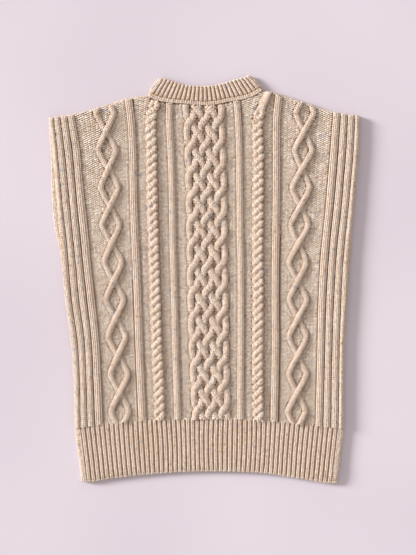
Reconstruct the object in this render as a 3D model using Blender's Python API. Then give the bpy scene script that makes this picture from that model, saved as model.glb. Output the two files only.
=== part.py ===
"""A cable-knit sweater vest, laid flat and face down with its back facing up.

Metres, +Z up. The vest lies on the plane z = 0, its hem towards -Y and its neck towards +Y.
The front lies below with a flat underside, the back lies on it, and both are walls of cloth
with a plain inner face. Ribs and cables are raised in the outer points of the upper layer.
"""
import math

import bmesh
import bpy

# Cloth thicknesses and heights.
SEAM_GAP = 0.0003
FRONT_THICKNESS = 0.0050
BACK_INNER_Z = FRONT_THICKNESS + SEAM_GAP
GROUND_THICKNESS = 0.0034
EDGE_THICKNESS = 0.0014
RIB_HEIGHT = 0.0032
RIB_VALLEY_HEIGHT = 0.0002
RIB_FLANK = 0.26

# Widths of the columns of the pattern.
OUTER_RIB_WIDTH = 0.0135
INNER_RIB_WIDTH = 0.0120

# Every cable strand is given by its half width, its height and its lift at a crossing.

# Diamond cables: two strands that cross between one opening and the next.
WAVE_PITCH = 0.0597
WAVE_OPENING_Y = 0.2070
WAVE_SWING = 0.0138
WAVE_SHARPNESS = 0.93
WAVE_STRAND = (0.0054, 0.0042, 0.0016)

# Rope cables: two strands that cross at every turn.
ROPE_PITCH = 0.0133
ROPE_CROSSING_Y = 0.0310
ROPE_SWING = 0.0050
ROPE_STRAND = (0.0050, 0.0038, 0.0014)
ROPE_HALF_WIDTH = 0.0108
ROPE_SLANT = 0.8

# Plait: six strands in six slots. Odd pairs cross first, then even pairs half a pitch later.
PLAIT_PITCH = 0.0384
PLAIT_CROSSING_Y = 0.0232
PLAIT_SLOTS = 6
PLAIT_STRAND = (0.0056, 0.0040, 0.0015)

# Rows of the mesh along the cloth.
RIB_ROW = 0.0420
WAVE_ROWS_PER_PITCH = 8
ROPE_ROWS_PER_PITCH = 3
PLAIT_ROWS_PER_PITCH = 8
END_CLEARANCE = 0.0026
MEETING_STEPS = 8
SHOULDER_ROUNDING = ((0.0065, 1.00), (0.0022, 0.80))

# The four wide ribs down each side: where their valleys run.
LEFT_RIB_LINES = (
    # y       edge     valley   valley   valley   ground
    (0.2585, -0.2490, -0.2405, -0.2300, -0.2185, -0.2065),
    (0.2070, -0.2430, -0.2350, -0.2235, -0.2110, -0.1975),
    (0.1590, -0.2385, -0.2305, -0.2185, -0.2065, -0.1935),
    (0.1110, -0.2345, -0.2260, -0.2140, -0.2025, -0.1880),
    (0.0630, -0.2310, -0.2200, -0.2095, -0.1975, -0.1830),
    (0.0310, -0.2285, -0.2175, -0.2060, -0.1945, -0.1805),
    (-0.0330, -0.2225, -0.2120, -0.2000, -0.1875, -0.1735),
    (-0.0970, -0.2135, -0.2030, -0.1915, -0.1805, -0.1670),
    (-0.1610, -0.2085, -0.1990, -0.1885, -0.1775, -0.1635),
    (-0.2360, -0.2070, -0.1980, -0.1865, -0.1745, -0.1605),
)
RIGHT_RIB_LINES = (
    # y      ground   valley   valley   valley   edge
    (0.2585, 0.2055, 0.2180, 0.2295, 0.2415, 0.2490),
    (0.2070, 0.2015, 0.2145, 0.2270, 0.2390, 0.2475),
    (0.1590, 0.1975, 0.2110, 0.2230, 0.2350, 0.2435),
    (0.1110, 0.1935, 0.2065, 0.2190, 0.2305, 0.2395),
    (0.0630, 0.1885, 0.2015, 0.2135, 0.2255, 0.2350),
    (0.0310, 0.1855, 0.1990, 0.2110, 0.2225, 0.2325),
    (-0.0330, 0.1825, 0.1950, 0.2075, 0.2190, 0.2295),
    (-0.0970, 0.1810, 0.1935, 0.2050, 0.2170, 0.2250),
    (-0.1610, 0.1795, 0.1920, 0.2035, 0.2160, 0.2240),
    (-0.2360, 0.1775, 0.1900, 0.2030, 0.2150, 0.2235),
)

# Centre lines of the middle columns, and how far apart the plait's strands run.
MIDDLE_LINES = (
    # y       wave L   rib L    rope L   rib L    plait    rib R    rope R  rib R    wave R   slot
    (0.2920, -0.1600, -0.1215, -0.0760, -0.0550, -0.0015, 0.0515, 0.0995, 0.1200, 0.1625, 0.01105),
    (0.2585, -0.1580, -0.1170, -0.0845, -0.0555, 0.0000, 0.0545, 0.0865, 0.1165, 0.1610, 0.01105),
    (0.2070, -0.1550, -0.1140, -0.0840, -0.0530, 0.0018, 0.0565, 0.0865, 0.1160, 0.1590, 0.01100),
    (0.1590, -0.1517, -0.1130, -0.0835, -0.0515, 0.0035, 0.0570, 0.0865, 0.1160, 0.1557, 0.01100),
    (0.1110, -0.1500, -0.1120, -0.0825, -0.0505, 0.0042, 0.0575, 0.0860, 0.1155, 0.1540, 0.01100),
    (0.0630, -0.1480, -0.1100, -0.0810, -0.0500, 0.0048, 0.0580, 0.0860, 0.1150, 0.1515, 0.01095),
    (0.0310, -0.1457, -0.1085, -0.0800, -0.0490, 0.0053, 0.0590, 0.0860, 0.1145, 0.1500, 0.01090),
    (-0.0330, -0.1425, -0.1060, -0.0780, -0.0470, 0.0065, 0.0590, 0.0865, 0.1140, 0.1503, 0.01090),
    (-0.0970, -0.1390, -0.1040, -0.0760, -0.0460, 0.0077, 0.0590, 0.0860, 0.1145, 0.1500, 0.01070),
    (-0.1610, -0.1353, -0.1015, -0.0730, -0.0440, 0.0098, 0.0585, 0.0860, 0.1135, 0.1495, 0.01045),
    (-0.2360, -0.1340, -0.0980, -0.0705, -0.0415, 0.0122, 0.0585, 0.0870, 0.1120, 0.1475, 0.01025),
)
WAVE_L, RIB_OUT_L, ROPE_L, RIB_IN_L, PLAIT, RIB_IN_R, ROPE_R, RIB_OUT_R, WAVE_R, SLOT = range(1, 11)

# The front layer's side edges, a little outside the back's where it shows past the armholes.
FRONT_SIDE_LINES = (
    # y       left     right
    (0.2585, -0.2490, 0.2490),
    (0.2310, -0.2482, 0.2483),
    (0.2070, -0.2465, 0.2475),
    (0.1750, -0.2455, 0.2450),
    (0.1430, -0.2445, 0.2427),
    (0.1190, -0.2435, 0.2407),
    (0.0950, -0.2415, 0.2388),
    (0.0695, -0.2370, 0.2370),
    (0.0470, -0.2320, 0.2358),
    (0.0310, -0.2290, 0.2348),
    (-0.0090, -0.2250, 0.2318),
    (-0.0330, -0.2225, 0.2298),
    (-0.0970, -0.2135, 0.2250),
    (-0.1610, -0.2085, 0.2240),
    (-0.2360, -0.2070, 0.2235),
)

# Edges that run across the garment.
LEFT_SHOULDER = (
    # x        y
    (-0.2490, 0.2585),
    (-0.2305, 0.2615),
    (-0.2145, 0.2635),
    (-0.1985, 0.2675),
    (-0.1825, 0.2710),
    (-0.1665, 0.2762),
    (-0.1505, 0.2810),
    (-0.1345, 0.2863),
    (-0.1185, 0.2905),
    (-0.1025, 0.2935),
    (-0.0895, 0.2927),
)
BACK_NECK = (
    # x        y
    (-0.0895, 0.2930),
    (-0.0785, 0.2870),
    (-0.0670, 0.2840),
    (-0.0510, 0.2820),
    (-0.0350, 0.2810),
    (-0.0190, 0.2795),
    (0.0015, 0.2780),
    (0.0175, 0.2790),
    (0.0335, 0.2825),
    (0.0495, 0.2855),
    (0.0655, 0.2880),
    (0.0800, 0.2930),
    (0.0930, 0.3010),
)
RIGHT_SHOULDER = (
    # x       y
    (0.0930, 0.3004),
    (0.1025, 0.3012),
    (0.1135, 0.2990),
    (0.1250, 0.2935),
    (0.1375, 0.2908),
    (0.1535, 0.2855),
    (0.1695, 0.2800),
    (0.1855, 0.2735),
    (0.2015, 0.2695),
    (0.2175, 0.2665),
    (0.2335, 0.2640),
    (0.2490, 0.2620),
)
HEM_LINE = (
    # x        y
    (-0.2070, -0.2390),
    (-0.1790, -0.2345),
    (-0.1425, -0.2290),
    (-0.0945, -0.2262),
    (-0.0465, -0.2240),
    (0.0095, -0.2222),
    (0.0575, -0.2235),
    (0.0975, -0.2262),
    (0.1410, -0.2308),
    (0.1855, -0.2348),
    (0.2235, -0.2385),
)
HEM_BOTTOM = (
    # x        y
    (-0.1960, -0.3235),
    (-0.1825, -0.3238),
    (-0.1505, -0.3187),
    (-0.1105, -0.3137),
    (-0.0625, -0.3095),
    (-0.0065, -0.3070),
    (0.0575, -0.3078),
    (0.1055, -0.3110),
    (0.1535, -0.3185),
    (0.1855, -0.3240),
    (0.2015, -0.3262),
    (0.2130, -0.3255),
)

# Hem rib.
HEM_RIB_COUNT = 54
HEM_RIB_HEIGHT = 0.0026
HEM_GROUND_THICKNESS = 0.0032
HEM_SEAM_ALLOWANCE = 0.0095
HEM_ROWS = (
    # down     thickness
    (0.00, 0.80),
    (0.06, 1.00),
    (0.50, 1.00),
    (0.94, 1.04),
    (1.00, 0.45),
)

# Neckband: its free edge on the back, its scoop on the front, and its section.
NECK_TOP = (
    # x        y
    (-0.0680, 0.3215),
    (-0.0625, 0.3218),
    (-0.0510, 0.3185),
    (-0.0385, 0.3140),
    (-0.0225, 0.3110),
    (-0.0065, 0.3100),
    (0.0095, 0.3105),
    (0.0255, 0.3130),
    (0.0415, 0.3180),
    (0.0575, 0.3225),
    (0.0705, 0.3260),
)
FRONT_NECK_DROP = 0.0900
FRONT_BAND_WIDTH = 0.0290
SCOOP_STEPS = 20
NECK_STEPS = 60
NECKBAND_RIB_COUNT = 23
NECKBAND_FOLD_WIDTH = 0.0040
NECKBAND_FOLD_STEPS = 4
NECKBAND_FOLD_SHARE = 0.014
NECKBAND_RIM_BULGE = 0.08
NECKBAND_SECTION = (
    # across  valley  rib, both in thickness
    (0.00, 0.0012, 0.0012),
    (0.06, 0.0046, 0.0046),
    (0.15, 0.0044, 0.0046),
    (0.21, 0.0026, 0.0030),
    (0.30, 0.0032, 0.0054),
    (0.62, 0.0032, 0.0056),
    (0.93, 0.0034, 0.0050),
    (1.00, 0.0016, 0.0020),
)

# The underside's edges turn up a little where the cloth leaves the surface it lies on.
UNDERSIDE_RIM_Z = 0.0012
UNDERSIDE_RIM_WIDTH = 0.0030
NECK_CORNER_SHARE = 0.9
NECK_GROUND_SHARES = (0.3, 0.65)
NECK_CORNER_REACH = 0.035
INNER_COLUMN_STEP = 3
INNER_ROW = 0.0700
FRONT_SHARES = (0.0, 0.25, 0.5, 0.75, 1.0)
FRONT_ROW = 0.0900

WOOL_COLOUR = (0.560, 0.465, 0.350, 1.0)
WOOL_ROUGHNESS = 0.92


def value_at(table, column, key):
    """Read one column of a table at a key between its rows, smoothly, and straight past its ends."""
    rows = sorted(table)
    keys = [row[0] for row in rows]
    values = [row[column] for row in rows]
    slopes = [(values[i + 1] - values[i]) / (keys[i + 1] - keys[i]) for i in range(len(rows) - 1)]
    if key <= keys[0]:
        return values[0] + slopes[0] * (key - keys[0])
    if key >= keys[-1]:
        return values[-1] + slopes[-1] * (key - keys[-1])
    index = max(i for i in range(len(rows) - 1) if keys[i] <= key)
    start_slope = (slopes[max(index - 1, 0)] + slopes[index]) / 2
    end_slope = (slopes[index] + slopes[min(index + 1, len(slopes) - 1)]) / 2
    span = keys[index + 1] - keys[index]
    t = (key - keys[index]) / span
    return (
        (2 * t**3 - 3 * t**2 + 1) * values[index]
        + (t**3 - 2 * t**2 + t) * span * start_slope
        + (3 * t**2 - 2 * t**3) * values[index + 1]
        + (t**3 - t**2) * span * end_slope
    )


def line(table, column):
    """A line over the cloth, from one column of a table."""
    return lambda key: value_at(table, column, key)


def shifted(base, offset):
    """A line beside another one."""
    return lambda y: base(y) + offset


def between(first, second, share):
    """A line a share of the way from one line to another."""
    return lambda y: first(y) * (1 - share) + second(y) * share


# Cables, as strands with a sideways place and a lift at each y.


def wave_strands(centre, y):
    """The two strands of a diamond cable. The one that leans right as it climbs passes over."""
    angle = math.pi * (y - WAVE_OPENING_Y) / WAVE_PITCH
    swing = WAVE_SWING * math.asin(WAVE_SHARPNESS * math.cos(angle)) / math.asin(WAVE_SHARPNESS)
    lift = WAVE_STRAND[2] * math.sin(angle)
    return ((centre(y) + swing, -lift), (centre(y) - swing, lift))


def rope_strands(centre, y):
    """The two strands of a rope. The one that leans right as it climbs passes over."""
    angle = math.pi * (y - ROPE_CROSSING_Y) / ROPE_PITCH + math.pi / 2
    swing = ROPE_SWING * math.cos(angle)
    lift = ROPE_STRAND[2] * math.sin(angle)
    return ((centre(y) + swing, -lift), (centre(y) - swing, lift))


def plait_strands(centre, y):
    """The six strands of the plait. Each climbs across all the slots and back again."""
    strands = []
    turns = 2 * PLAIT_SLOTS
    for index in range(PLAIT_SLOTS):
        steps = 2 * (y - PLAIT_CROSSING_Y) / PLAIT_PITCH + 0.5 + 2 * index
        step, share = divmod(steps, 1.0)
        place = plait_slot(int(step) % turns)
        target = plait_slot((int(step) + 1) % turns)
        eased = (1 - math.cos(math.pi * share)) / 2
        slot = place + (target - place) * eased
        over = 1 if int(step) % 2 == 0 else -1
        if target < place:
            over = -over
        elif target == place:
            over = 0
        lift = over * PLAIT_STRAND[2] * math.sin(math.pi * share)
        offset = (slot - (PLAIT_SLOTS - 1) / 2) * value_at(MIDDLE_LINES, SLOT, y)
        strands.append((centre(y) + offset, lift))
    return strands


def plait_slot(step):
    """The slot that a strand stands in after a number of steps: out across, a rest, and back."""
    last = PLAIT_SLOTS - 1
    return step if step <= last else 2 * PLAIT_SLOTS - 1 - step


def cable_height(strands_at, centre, strand, x, y):
    """How far a cable stands above the ground at a point."""
    half_width, height, _ = strand
    step = 0.0005
    here = strands_at(centre, y)
    above = strands_at(centre, y + step)
    highest = 0.0
    for (place, lift), (place_above, _) in zip(here, above):
        lean = math.hypot(1.0, (place_above - place) / step)
        reach = (x - place) / (half_width * min(lean, 1.7))
        if abs(reach) < 1:
            highest = max(highest, lift + height * math.sqrt(1 - reach * reach))
    return highest


# Edges across the garment.


def top_edge(x):
    """The back's upper edge: shoulder, neck, shoulder."""
    if x <= BACK_NECK[0][0]:
        return value_at(LEFT_SHOULDER, 1, x)
    if x >= BACK_NECK[-1][0]:
        return value_at(RIGHT_SHOULDER, 1, x)
    return value_at(BACK_NECK, 1, x) - SEAM_GAP


def on_neck(x):
    return BACK_NECK[0][0] < x < BACK_NECK[-1][0]


def hem_edge(x):
    return value_at(HEM_LINE, 1, x)


def meeting_y(x_line, edge, y):
    """Where a line that runs up the cloth meets an edge that runs across it."""
    for _ in range(MEETING_STEPS):
        y = edge(x_line(y))
    return y


def scoop_point(angle, ends, drop, inset=0.0):
    """A point of half an ellipse hung between two ends; the angle runs from 0 left to pi right."""
    (left_x, left_y), (right_x, right_y) = ends
    across = (1 - math.cos(angle)) / 2
    half_width = (right_x - left_x) / 2
    x = left_x + 2 * half_width * across + inset * math.cos(angle)
    y = left_y + (right_y - left_y) * across - (drop - inset) * math.sin(angle)
    return (x, y)


# Walls of cloth, made of columns of points that run up the cloth.


def rows_between(low, high, spacing, phase):
    """Evenly spaced y values in phase with the pattern, clear of both ends."""
    first = math.ceil((low + END_CLEARANCE - phase) / spacing)
    last = math.floor((high - END_CLEARANCE - phase) / spacing)
    return [phase + spacing * index for index in range(first, last + 1)]


def back_column(x_line, height_at, spacing, phase):
    """One column of outer points on the back, from the hem line to the shoulder or neck."""
    low = meeting_y(x_line, hem_edge, HEM_LINE[0][1])
    high = meeting_y(x_line, top_edge, LEFT_SHOULDER[-1][1])
    neck = on_neck(x_line(high))
    rounding = () if neck else SHOULDER_ROUNDING
    limit = high - rounding[0][0] if rounding else high
    points = [(low, 1.0)]
    points += [(y, 1.0) for y in rows_between(low, limit, spacing, phase)]
    points += [(high - depth, share) for depth, share in rounding]
    column = []
    for y, share in points:
        x = x_line(y)
        thickness = (GROUND_THICKNESS + height_at(x, y)) * share
        column.append((x, y, BACK_INNER_Z + thickness))
    edge = GROUND_THICKNESS if neck else EDGE_THICKNESS
    column.append((x_line(high), high, BACK_INNER_Z + edge))
    return column


def rim_column(x_line):
    """The outermost column of the back, where its side edge turns down."""
    return [(x, y, BACK_INNER_Z + EDGE_THICKNESS) for x, y, _ in flat_column(x_line)]


def flat_column(x_line, height=0.0):
    """A column at one height all the way up: ground, a valley or the crest of a rib."""
    return back_column(x_line, lambda x, y: height, RIB_ROW, 0.0)


def rib_columns(left, right):
    """The two crests of a rib between its left and right lines."""
    return [flat_column(between(left, right, share), RIB_HEIGHT) for share in (RIB_FLANK, 1 - RIB_FLANK)]


def middle_rib_columns(table_column, width):
    """A rib that stands alone on the ground."""
    left = shifted(line(MIDDLE_LINES, table_column), -width / 2)
    right = shifted(line(MIDDLE_LINES, table_column), width / 2)
    return [flat_column(left), *rib_columns(left, right), flat_column(right)]


def cable_columns(lines, height_at, spacing, phases):
    """The columns of a cable. Its first and last ones lie on the ground beside it."""
    heights = [height_at] * len(lines)
    heights[0] = heights[-1] = lambda x, y: 0.0
    places = zip(lines, heights, phases)
    return [back_column(x_line, height, spacing, phase) for x_line, height, phase in places]


def wave_columns(table_column):
    """A diamond cable: columns along its left strand, its middle and its right strand."""
    centre = line(MIDDLE_LINES, table_column)
    half_width = WAVE_STRAND[0]

    def follow(side, across):
        def x_at(y):
            spread = abs(wave_strands(centre, y)[0][0] - centre(y))
            spread = max(spread, 0.45 * half_width)
            if across >= 0:
                return centre(y) + side * (spread + across * half_width)
            return centre(y) + side * spread * (1 + across)
        return x_at

    def height(x, y):
        return cable_height(wave_strands, centre, WAVE_STRAND, x, y)

    lines = [follow(-1, across) for across in (1.10, 0.55, 0.0, -0.5)]
    lines += [centre]
    lines += [follow(1, across) for across in (-0.5, 0.0, 0.55, 1.10)]
    spacing = WAVE_PITCH / WAVE_ROWS_PER_PITCH
    return cable_columns(lines, height, spacing, [WAVE_OPENING_Y] * len(lines))


def rope_columns(table_column):
    """A rope: its rows lean with the strands that pass over."""
    centre = line(MIDDLE_LINES, table_column)

    def height(x, y):
        return cable_height(rope_strands, centre, ROPE_STRAND, x, y)

    offsets = [share * ROPE_HALF_WIDTH for share in (-1.0, -0.5, 0.0, 0.5, 1.0)]
    lines = [shifted(centre, offset) for offset in offsets]
    phases = [ROPE_CROSSING_Y + ROPE_SLANT * offset for offset in offsets]
    return cable_columns(lines, height, ROPE_PITCH / ROPE_ROWS_PER_PITCH, phases)


def plait_columns():
    """The plait: columns along its slots and halfway between them."""
    centre = line(MIDDLE_LINES, PLAIT)

    def place(share):
        return lambda y: centre(y) + share * value_at(MIDDLE_LINES, SLOT, y)

    def height(x, y):
        return cable_height(plait_strands, centre, PLAIT_STRAND, x, y)

    lines = [place(half_slot / 2) for half_slot in range(-PLAIT_SLOTS, PLAIT_SLOTS + 1)]
    phases = [PLAIT_CROSSING_Y] * len(lines)
    return cable_columns(lines, height, PLAIT_PITCH / PLAIT_ROWS_PER_PITCH, phases)


def zip_lines(points, first, second):
    """Triangles between two lines of points that run the same way, along short and high edges."""
    def cost(a, b):
        return math.dist(points[a], points[b]) - points[a][2] - points[b][2]

    triangles = []
    i = j = 0
    while i < len(first) - 1 or j < len(second) - 1:
        if j == len(second) - 1:
            step_first = True
        elif i == len(first) - 1:
            step_first = False
        else:
            step_first = cost(first[i + 1], second[j]) <= cost(first[i], second[j + 1])
        if step_first:
            triangles.append((first[i], second[j], first[i + 1]))
            i += 1
        else:
            triangles.append((first[i], second[j], second[j + 1]))
            j += 1
    return triangles


def wall(name, outer, inner, material):
    """A closed wall from columns of outer points and fewer columns of inner points."""
    points = []
    faces = []

    def add(columns):
        numbered = []
        for column in columns:
            numbered.append(list(range(len(points), len(points) + len(column))))
            points.extend(column)
        return numbered

    sides = [add(outer), add(inner)]
    for columns in sides:
        for left, right in zip(columns, columns[1:]):
            faces += zip_lines(points, left, right)
    outside, inside = sides
    faces += zip_lines(points, outside[0], inside[0])
    faces += zip_lines(points, outside[-1], inside[-1])
    faces += zip_lines(points, [c[0] for c in outside], [c[0] for c in inside])
    faces += zip_lines(points, [c[-1] for c in outside], [c[-1] for c in inside])
    return solid(name, points, faces, material)


def solid(name, points, faces, material):
    """A named object from points and faces, with all its faces turned outwards."""
    mesh = bpy.data.meshes.new(name)
    mesh.from_pydata(points, [], faces)
    shape = bmesh.new()
    shape.from_mesh(mesh)
    bmesh.ops.recalc_face_normals(shape, faces=shape.faces)
    shape.to_mesh(mesh)
    shape.free()
    mesh.materials.append(material)
    mesh.shade_smooth()
    thing = bpy.data.objects.new(name, mesh)
    bpy.context.scene.collection.objects.link(thing)
    return thing


def inner_columns(columns, z, spacing):
    """The plain inner face under a choice of outer columns, with fewer points along each."""
    inner = []
    for column in columns:
        low, high = column[0][1], column[-1][1]
        count = max(1, round((high - low) / spacing))
        picked = [column[0]]
        for step in range(1, count):
            y = low + (high - low) * step / count
            picked.append(min(column, key=lambda point: abs(point[1] - y)))
        picked.append(column[-1])
        inner.append([(x, y, z) for x, y, _ in picked])
    return inner


def make_back_panel(material):
    """The back, with every rib and cable raised in its outer points."""
    left_lines = [line(LEFT_RIB_LINES, number) for number in range(1, 6)]
    right_lines = [line(RIGHT_RIB_LINES, number) for number in range(1, 6)]
    columns = [rim_column(left_lines[0])]
    for left, right in zip(left_lines, left_lines[1:]):
        columns += rib_columns(left, right)
        columns.append(flat_column(right, RIB_VALLEY_HEIGHT))
    columns += wave_columns(WAVE_L)
    columns += middle_rib_columns(RIB_OUT_L, OUTER_RIB_WIDTH)
    beside_rib = shifted(line(MIDDLE_LINES, RIB_OUT_L), OUTER_RIB_WIDTH / 2)
    beside_rope = shifted(line(MIDDLE_LINES, ROPE_L), -ROPE_HALF_WIDTH)
    columns.append(flat_column(between(beside_rib, beside_rope, NECK_CORNER_SHARE)))
    columns += rope_columns(ROPE_L)
    columns += middle_rib_columns(RIB_IN_L, INNER_RIB_WIDTH)
    columns += plait_columns()
    columns += middle_rib_columns(RIB_IN_R, INNER_RIB_WIDTH)
    beside_rib = shifted(line(MIDDLE_LINES, RIB_IN_R), INNER_RIB_WIDTH / 2)
    beside_rope = shifted(line(MIDDLE_LINES, ROPE_R), -ROPE_HALF_WIDTH)
    for share in NECK_GROUND_SHARES:
        columns.append(flat_column(between(beside_rib, beside_rope, share)))
    columns += rope_columns(ROPE_R)
    columns += middle_rib_columns(RIB_OUT_R, OUTER_RIB_WIDTH)
    columns += wave_columns(WAVE_R)
    for left, right in zip(right_lines, right_lines[1:]):
        columns.append(flat_column(left, RIB_VALLEY_HEIGHT))
        columns += rib_columns(left, right)
    columns.append(rim_column(right_lines[-1]))
    chosen = [
        column for number, column in enumerate(columns)
        if number % INNER_COLUMN_STEP == 0 or number == len(columns) - 1 or near_neck_corner(column)
    ]
    inner = inner_columns(chosen, BACK_INNER_Z, INNER_ROW)
    return wall("back_panel", columns, inner, material)


def near_neck_corner(column):
    """Whether a column ends where the neck edge turns up to the shoulder."""
    top_x = column[-1][0]
    corners = (BACK_NECK[0][0], BACK_NECK[-1][0])
    return on_neck(top_x) and min(abs(top_x - corner) for corner in corners) < NECK_CORNER_REACH


def front_outer_column(points):
    """A column of the underside: flat on the surface, its two ends turned up a little."""
    column = [(*points[0], UNDERSIDE_RIM_Z)]
    for (x0, y0), (x1, y1) in (points[:2], points[:-3:-1]):
        share = min(0.4, UNDERSIDE_RIM_WIDTH / math.hypot(x1 - x0, y1 - y0))
        column.append((x0 + (x1 - x0) * share, y0 + (y1 - y0) * share, 0.0))
    column[2:2] = [(x, y, 0.0) for x, y in points[1:-1]]
    column.append((*points[-1], UNDERSIDE_RIM_Z))
    return column


def flat_wall(name, lines_of_points, material):
    """A wall with a flat underside: its first and last lines of points are its side rims."""
    first, second = lines_of_points[0], lines_of_points[1]
    last, before_last = lines_of_points[-1], lines_of_points[-2]
    outer = [[(x, y, UNDERSIDE_RIM_Z) for x, y in first]]
    outer.append(front_outer_column(beside(first, second)))
    outer += [front_outer_column(points) for points in lines_of_points[1:-1]]
    outer.append(front_outer_column(beside(last, before_last)))
    outer.append([(x, y, UNDERSIDE_RIM_Z) for x, y in last])
    inner = [[(x, y, FRONT_THICKNESS) for x, y in points] for points in lines_of_points]
    return wall(name, outer, inner, material)


def beside(edge, neighbour):
    """The line of points one rim width in from a side edge."""
    points = []
    for (x0, y0), (x1, y1) in zip(edge, neighbour):
        share = min(0.4, UNDERSIDE_RIM_WIDTH / math.hypot(x1 - x0, y1 - y0))
        points.append((x0 + (x1 - x0) * share, y0 + (y1 - y0) * share))
    return points


def front_line(x_line, top):
    """Points up the front from the hem line to a top point, on a line up the cloth."""
    low_y = meeting_y(x_line, hem_edge, HEM_LINE[0][1])
    top_x, top_y = top
    count = round((top_y - low_y) / FRONT_ROW)
    heights = [low_y + (top_y - low_y) * step / count for step in range(count)]
    return [(x_line(y), y) for y in heights] + [(top_x, top_y)]


def make_front_panel(material):
    """The front, under the back: a plain wall with a flat underside and a neck scoop."""
    ends = (BACK_NECK[0], BACK_NECK[-1])
    left_side, right_side = line(FRONT_SIDE_LINES, 1), line(FRONT_SIDE_LINES, 2)
    lines_of_points = []
    for share in FRONT_SHARES:
        x_line = between(left_side, lambda y: ends[0][0], share)
        y = meeting_y(x_line, line(LEFT_SHOULDER, 1), LEFT_SHOULDER[0][1])
        lines_of_points.append(front_line(x_line, (x_line(y), y)))
    for step in range(1, SCOOP_STEPS):
        top = scoop_point(math.pi * step / SCOOP_STEPS, ends, FRONT_NECK_DROP)
        lines_of_points.append(front_line(lambda y, x=top[0]: x, top))
    for share in FRONT_SHARES:
        x_line = between(lambda y: ends[1][0], right_side, share)
        y = meeting_y(x_line, line(RIGHT_SHOULDER, 1), RIGHT_SHOULDER[-1][1])
        lines_of_points.append(front_line(x_line, (x_line(y), y)))
    return flat_wall("front_panel", lines_of_points, material)


# Hem ribs.


def hem_place(across, down):
    """A point of the hem: across from its left edge and down from the hem line, both 0 to 1."""
    top_x = HEM_LINE[0][0] + (HEM_LINE[-1][0] - HEM_LINE[0][0]) * across
    bottom_x = HEM_BOTTOM[0][0] + (HEM_BOTTOM[-1][0] - HEM_BOTTOM[0][0]) * across
    top_y = value_at(HEM_LINE, 1, top_x) - SEAM_GAP
    bottom_y = value_at(HEM_BOTTOM, 1, bottom_x)
    return (top_x + (bottom_x - top_x) * down, top_y + (bottom_y - top_y) * down)


def make_back_hem(material):
    """The back's hem: plain stitches at the side seams and 1x1 rib between them."""
    width = HEM_LINE[-1][0] - HEM_LINE[0][0]
    seam = HEM_SEAM_ALLOWANCE / width
    pitch = (1 - 2 * seam) / HEM_RIB_COUNT
    valley, crest = HEM_GROUND_THICKNESS, HEM_GROUND_THICKNESS + HEM_RIB_HEIGHT
    places = [(0.0, EDGE_THICKNESS), (seam * 0.4, crest)]
    for index in range(HEM_RIB_COUNT):
        start = seam + index * pitch
        places.append((start, valley))
        places.append((start + RIB_FLANK * pitch, crest))
        places.append((start + (1 - RIB_FLANK) * pitch, crest))
    places += [(1 - seam, valley), (1 - seam * 0.4, crest), (1.0, EDGE_THICKNESS)]
    outer = []
    for across, thickness in places:
        column = []
        for down, share in HEM_ROWS:
            column.append((*hem_place(across, down), BACK_INNER_Z + thickness * share))
        outer.append(column)
    inner = []
    for column in outer[::9] + ([outer[-1]] if (len(outer) - 1) % 9 else []):
        inner.append([(x, y, BACK_INNER_Z) for x, y, _ in (column[0], column[2], column[-1])])
    return wall("back_hem_rib", outer, inner, material)


def make_front_hem(material):
    """The front's hem, under the back's, with a flat underside."""
    count = HEM_RIB_COUNT // 3
    lines_of_points = []
    for index in range(count + 1):
        lines_of_points.append([hem_place(index / count, down) for down in (0.0, 0.5, 1.0)])
    return flat_wall("front_hem_rib", lines_of_points, material)


# Neckband.


def smooth_edge(table, steps, offset=0.0):
    """A table's edge as closely spaced points."""
    start, end = table[0][0], table[-1][0]
    places = [start + (end - start) * step / steps for step in range(steps + 1)]
    return [(x, value_at(table, 1, x) + offset) for x in places]


def along(points, share):
    """The point a share of the way along a line through points."""
    lengths = [math.dist(a, b) for a, b in zip(points, points[1:])]
    target = share * sum(lengths)
    for (a, b), length in zip(zip(points, points[1:]), lengths):
        if target <= length:
            t = target / length
            return (a[0] + (b[0] - a[0]) * t, a[1] + (b[1] - a[1]) * t)
        target -= length
    return points[-1]


def band_loop(base, free, outer_heights, inner_z, swell=(0.0, 0.0)):
    """One section of the neckband, from its base to its free edge and back along the inside."""
    thickest = max(rib for _, _, rib in NECKBAND_SECTION)
    thinnest = min(rib for _, _, rib in NECKBAND_SECTION)
    loop = []
    for (across, _, rib), z in zip(NECKBAND_SECTION, outer_heights):
        bulge = max(NECKBAND_RIM_BULGE, (rib - thinnest) / (thickest - thinnest))
        x = base[0] + (free[0] - base[0]) * across + swell[0] * bulge
        y = base[1] + (free[1] - base[1]) * across + swell[1] * bulge
        loop.append((x, y, z))
    loop.append((*free, inner_z))
    loop.append((*base, inner_z))
    return loop


def fold_loops(base_points, free_points, share_at, turn):
    """The sections round one folded end, from the upper layer down to the lower one."""
    middle_z = FRONT_THICKNESS + SEAM_GAP / 2
    loops = []
    for step in range(NECKBAND_FOLD_STEPS + 1):
        angle = math.pi / 2 - math.pi * step / NECKBAND_FOLD_STEPS
        share = share_at(NECKBAND_FOLD_SHARE * (1 - math.cos(angle)))
        base, free = along(base_points, share), along(free_points, share)
        length = math.dist(base, free)
        outward = NECKBAND_FOLD_WIDTH * math.cos(angle) * turn / length
        swell = ((base[1] - free[1]) * outward, (free[0] - base[0]) * outward)
        heights = []
        for number, (_, _, rib) in enumerate(NECKBAND_SECTION):
            if math.sin(angle) >= 0:
                reach = SEAM_GAP / 2 + rib
            else:
                reach = middle_z - underside_z(number)
            heights.append(middle_z + reach * math.sin(angle))
        inner_z = middle_z + math.sin(angle) * SEAM_GAP / 2
        loops.append(band_loop(base, free, heights, inner_z, swell))
    return loops


def underside_z(number):
    """The neckband's underside: flat, with both of its edges turned up a little."""
    return UNDERSIDE_RIM_Z if number in (0, len(NECKBAND_SECTION) - 1) else 0.0


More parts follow.
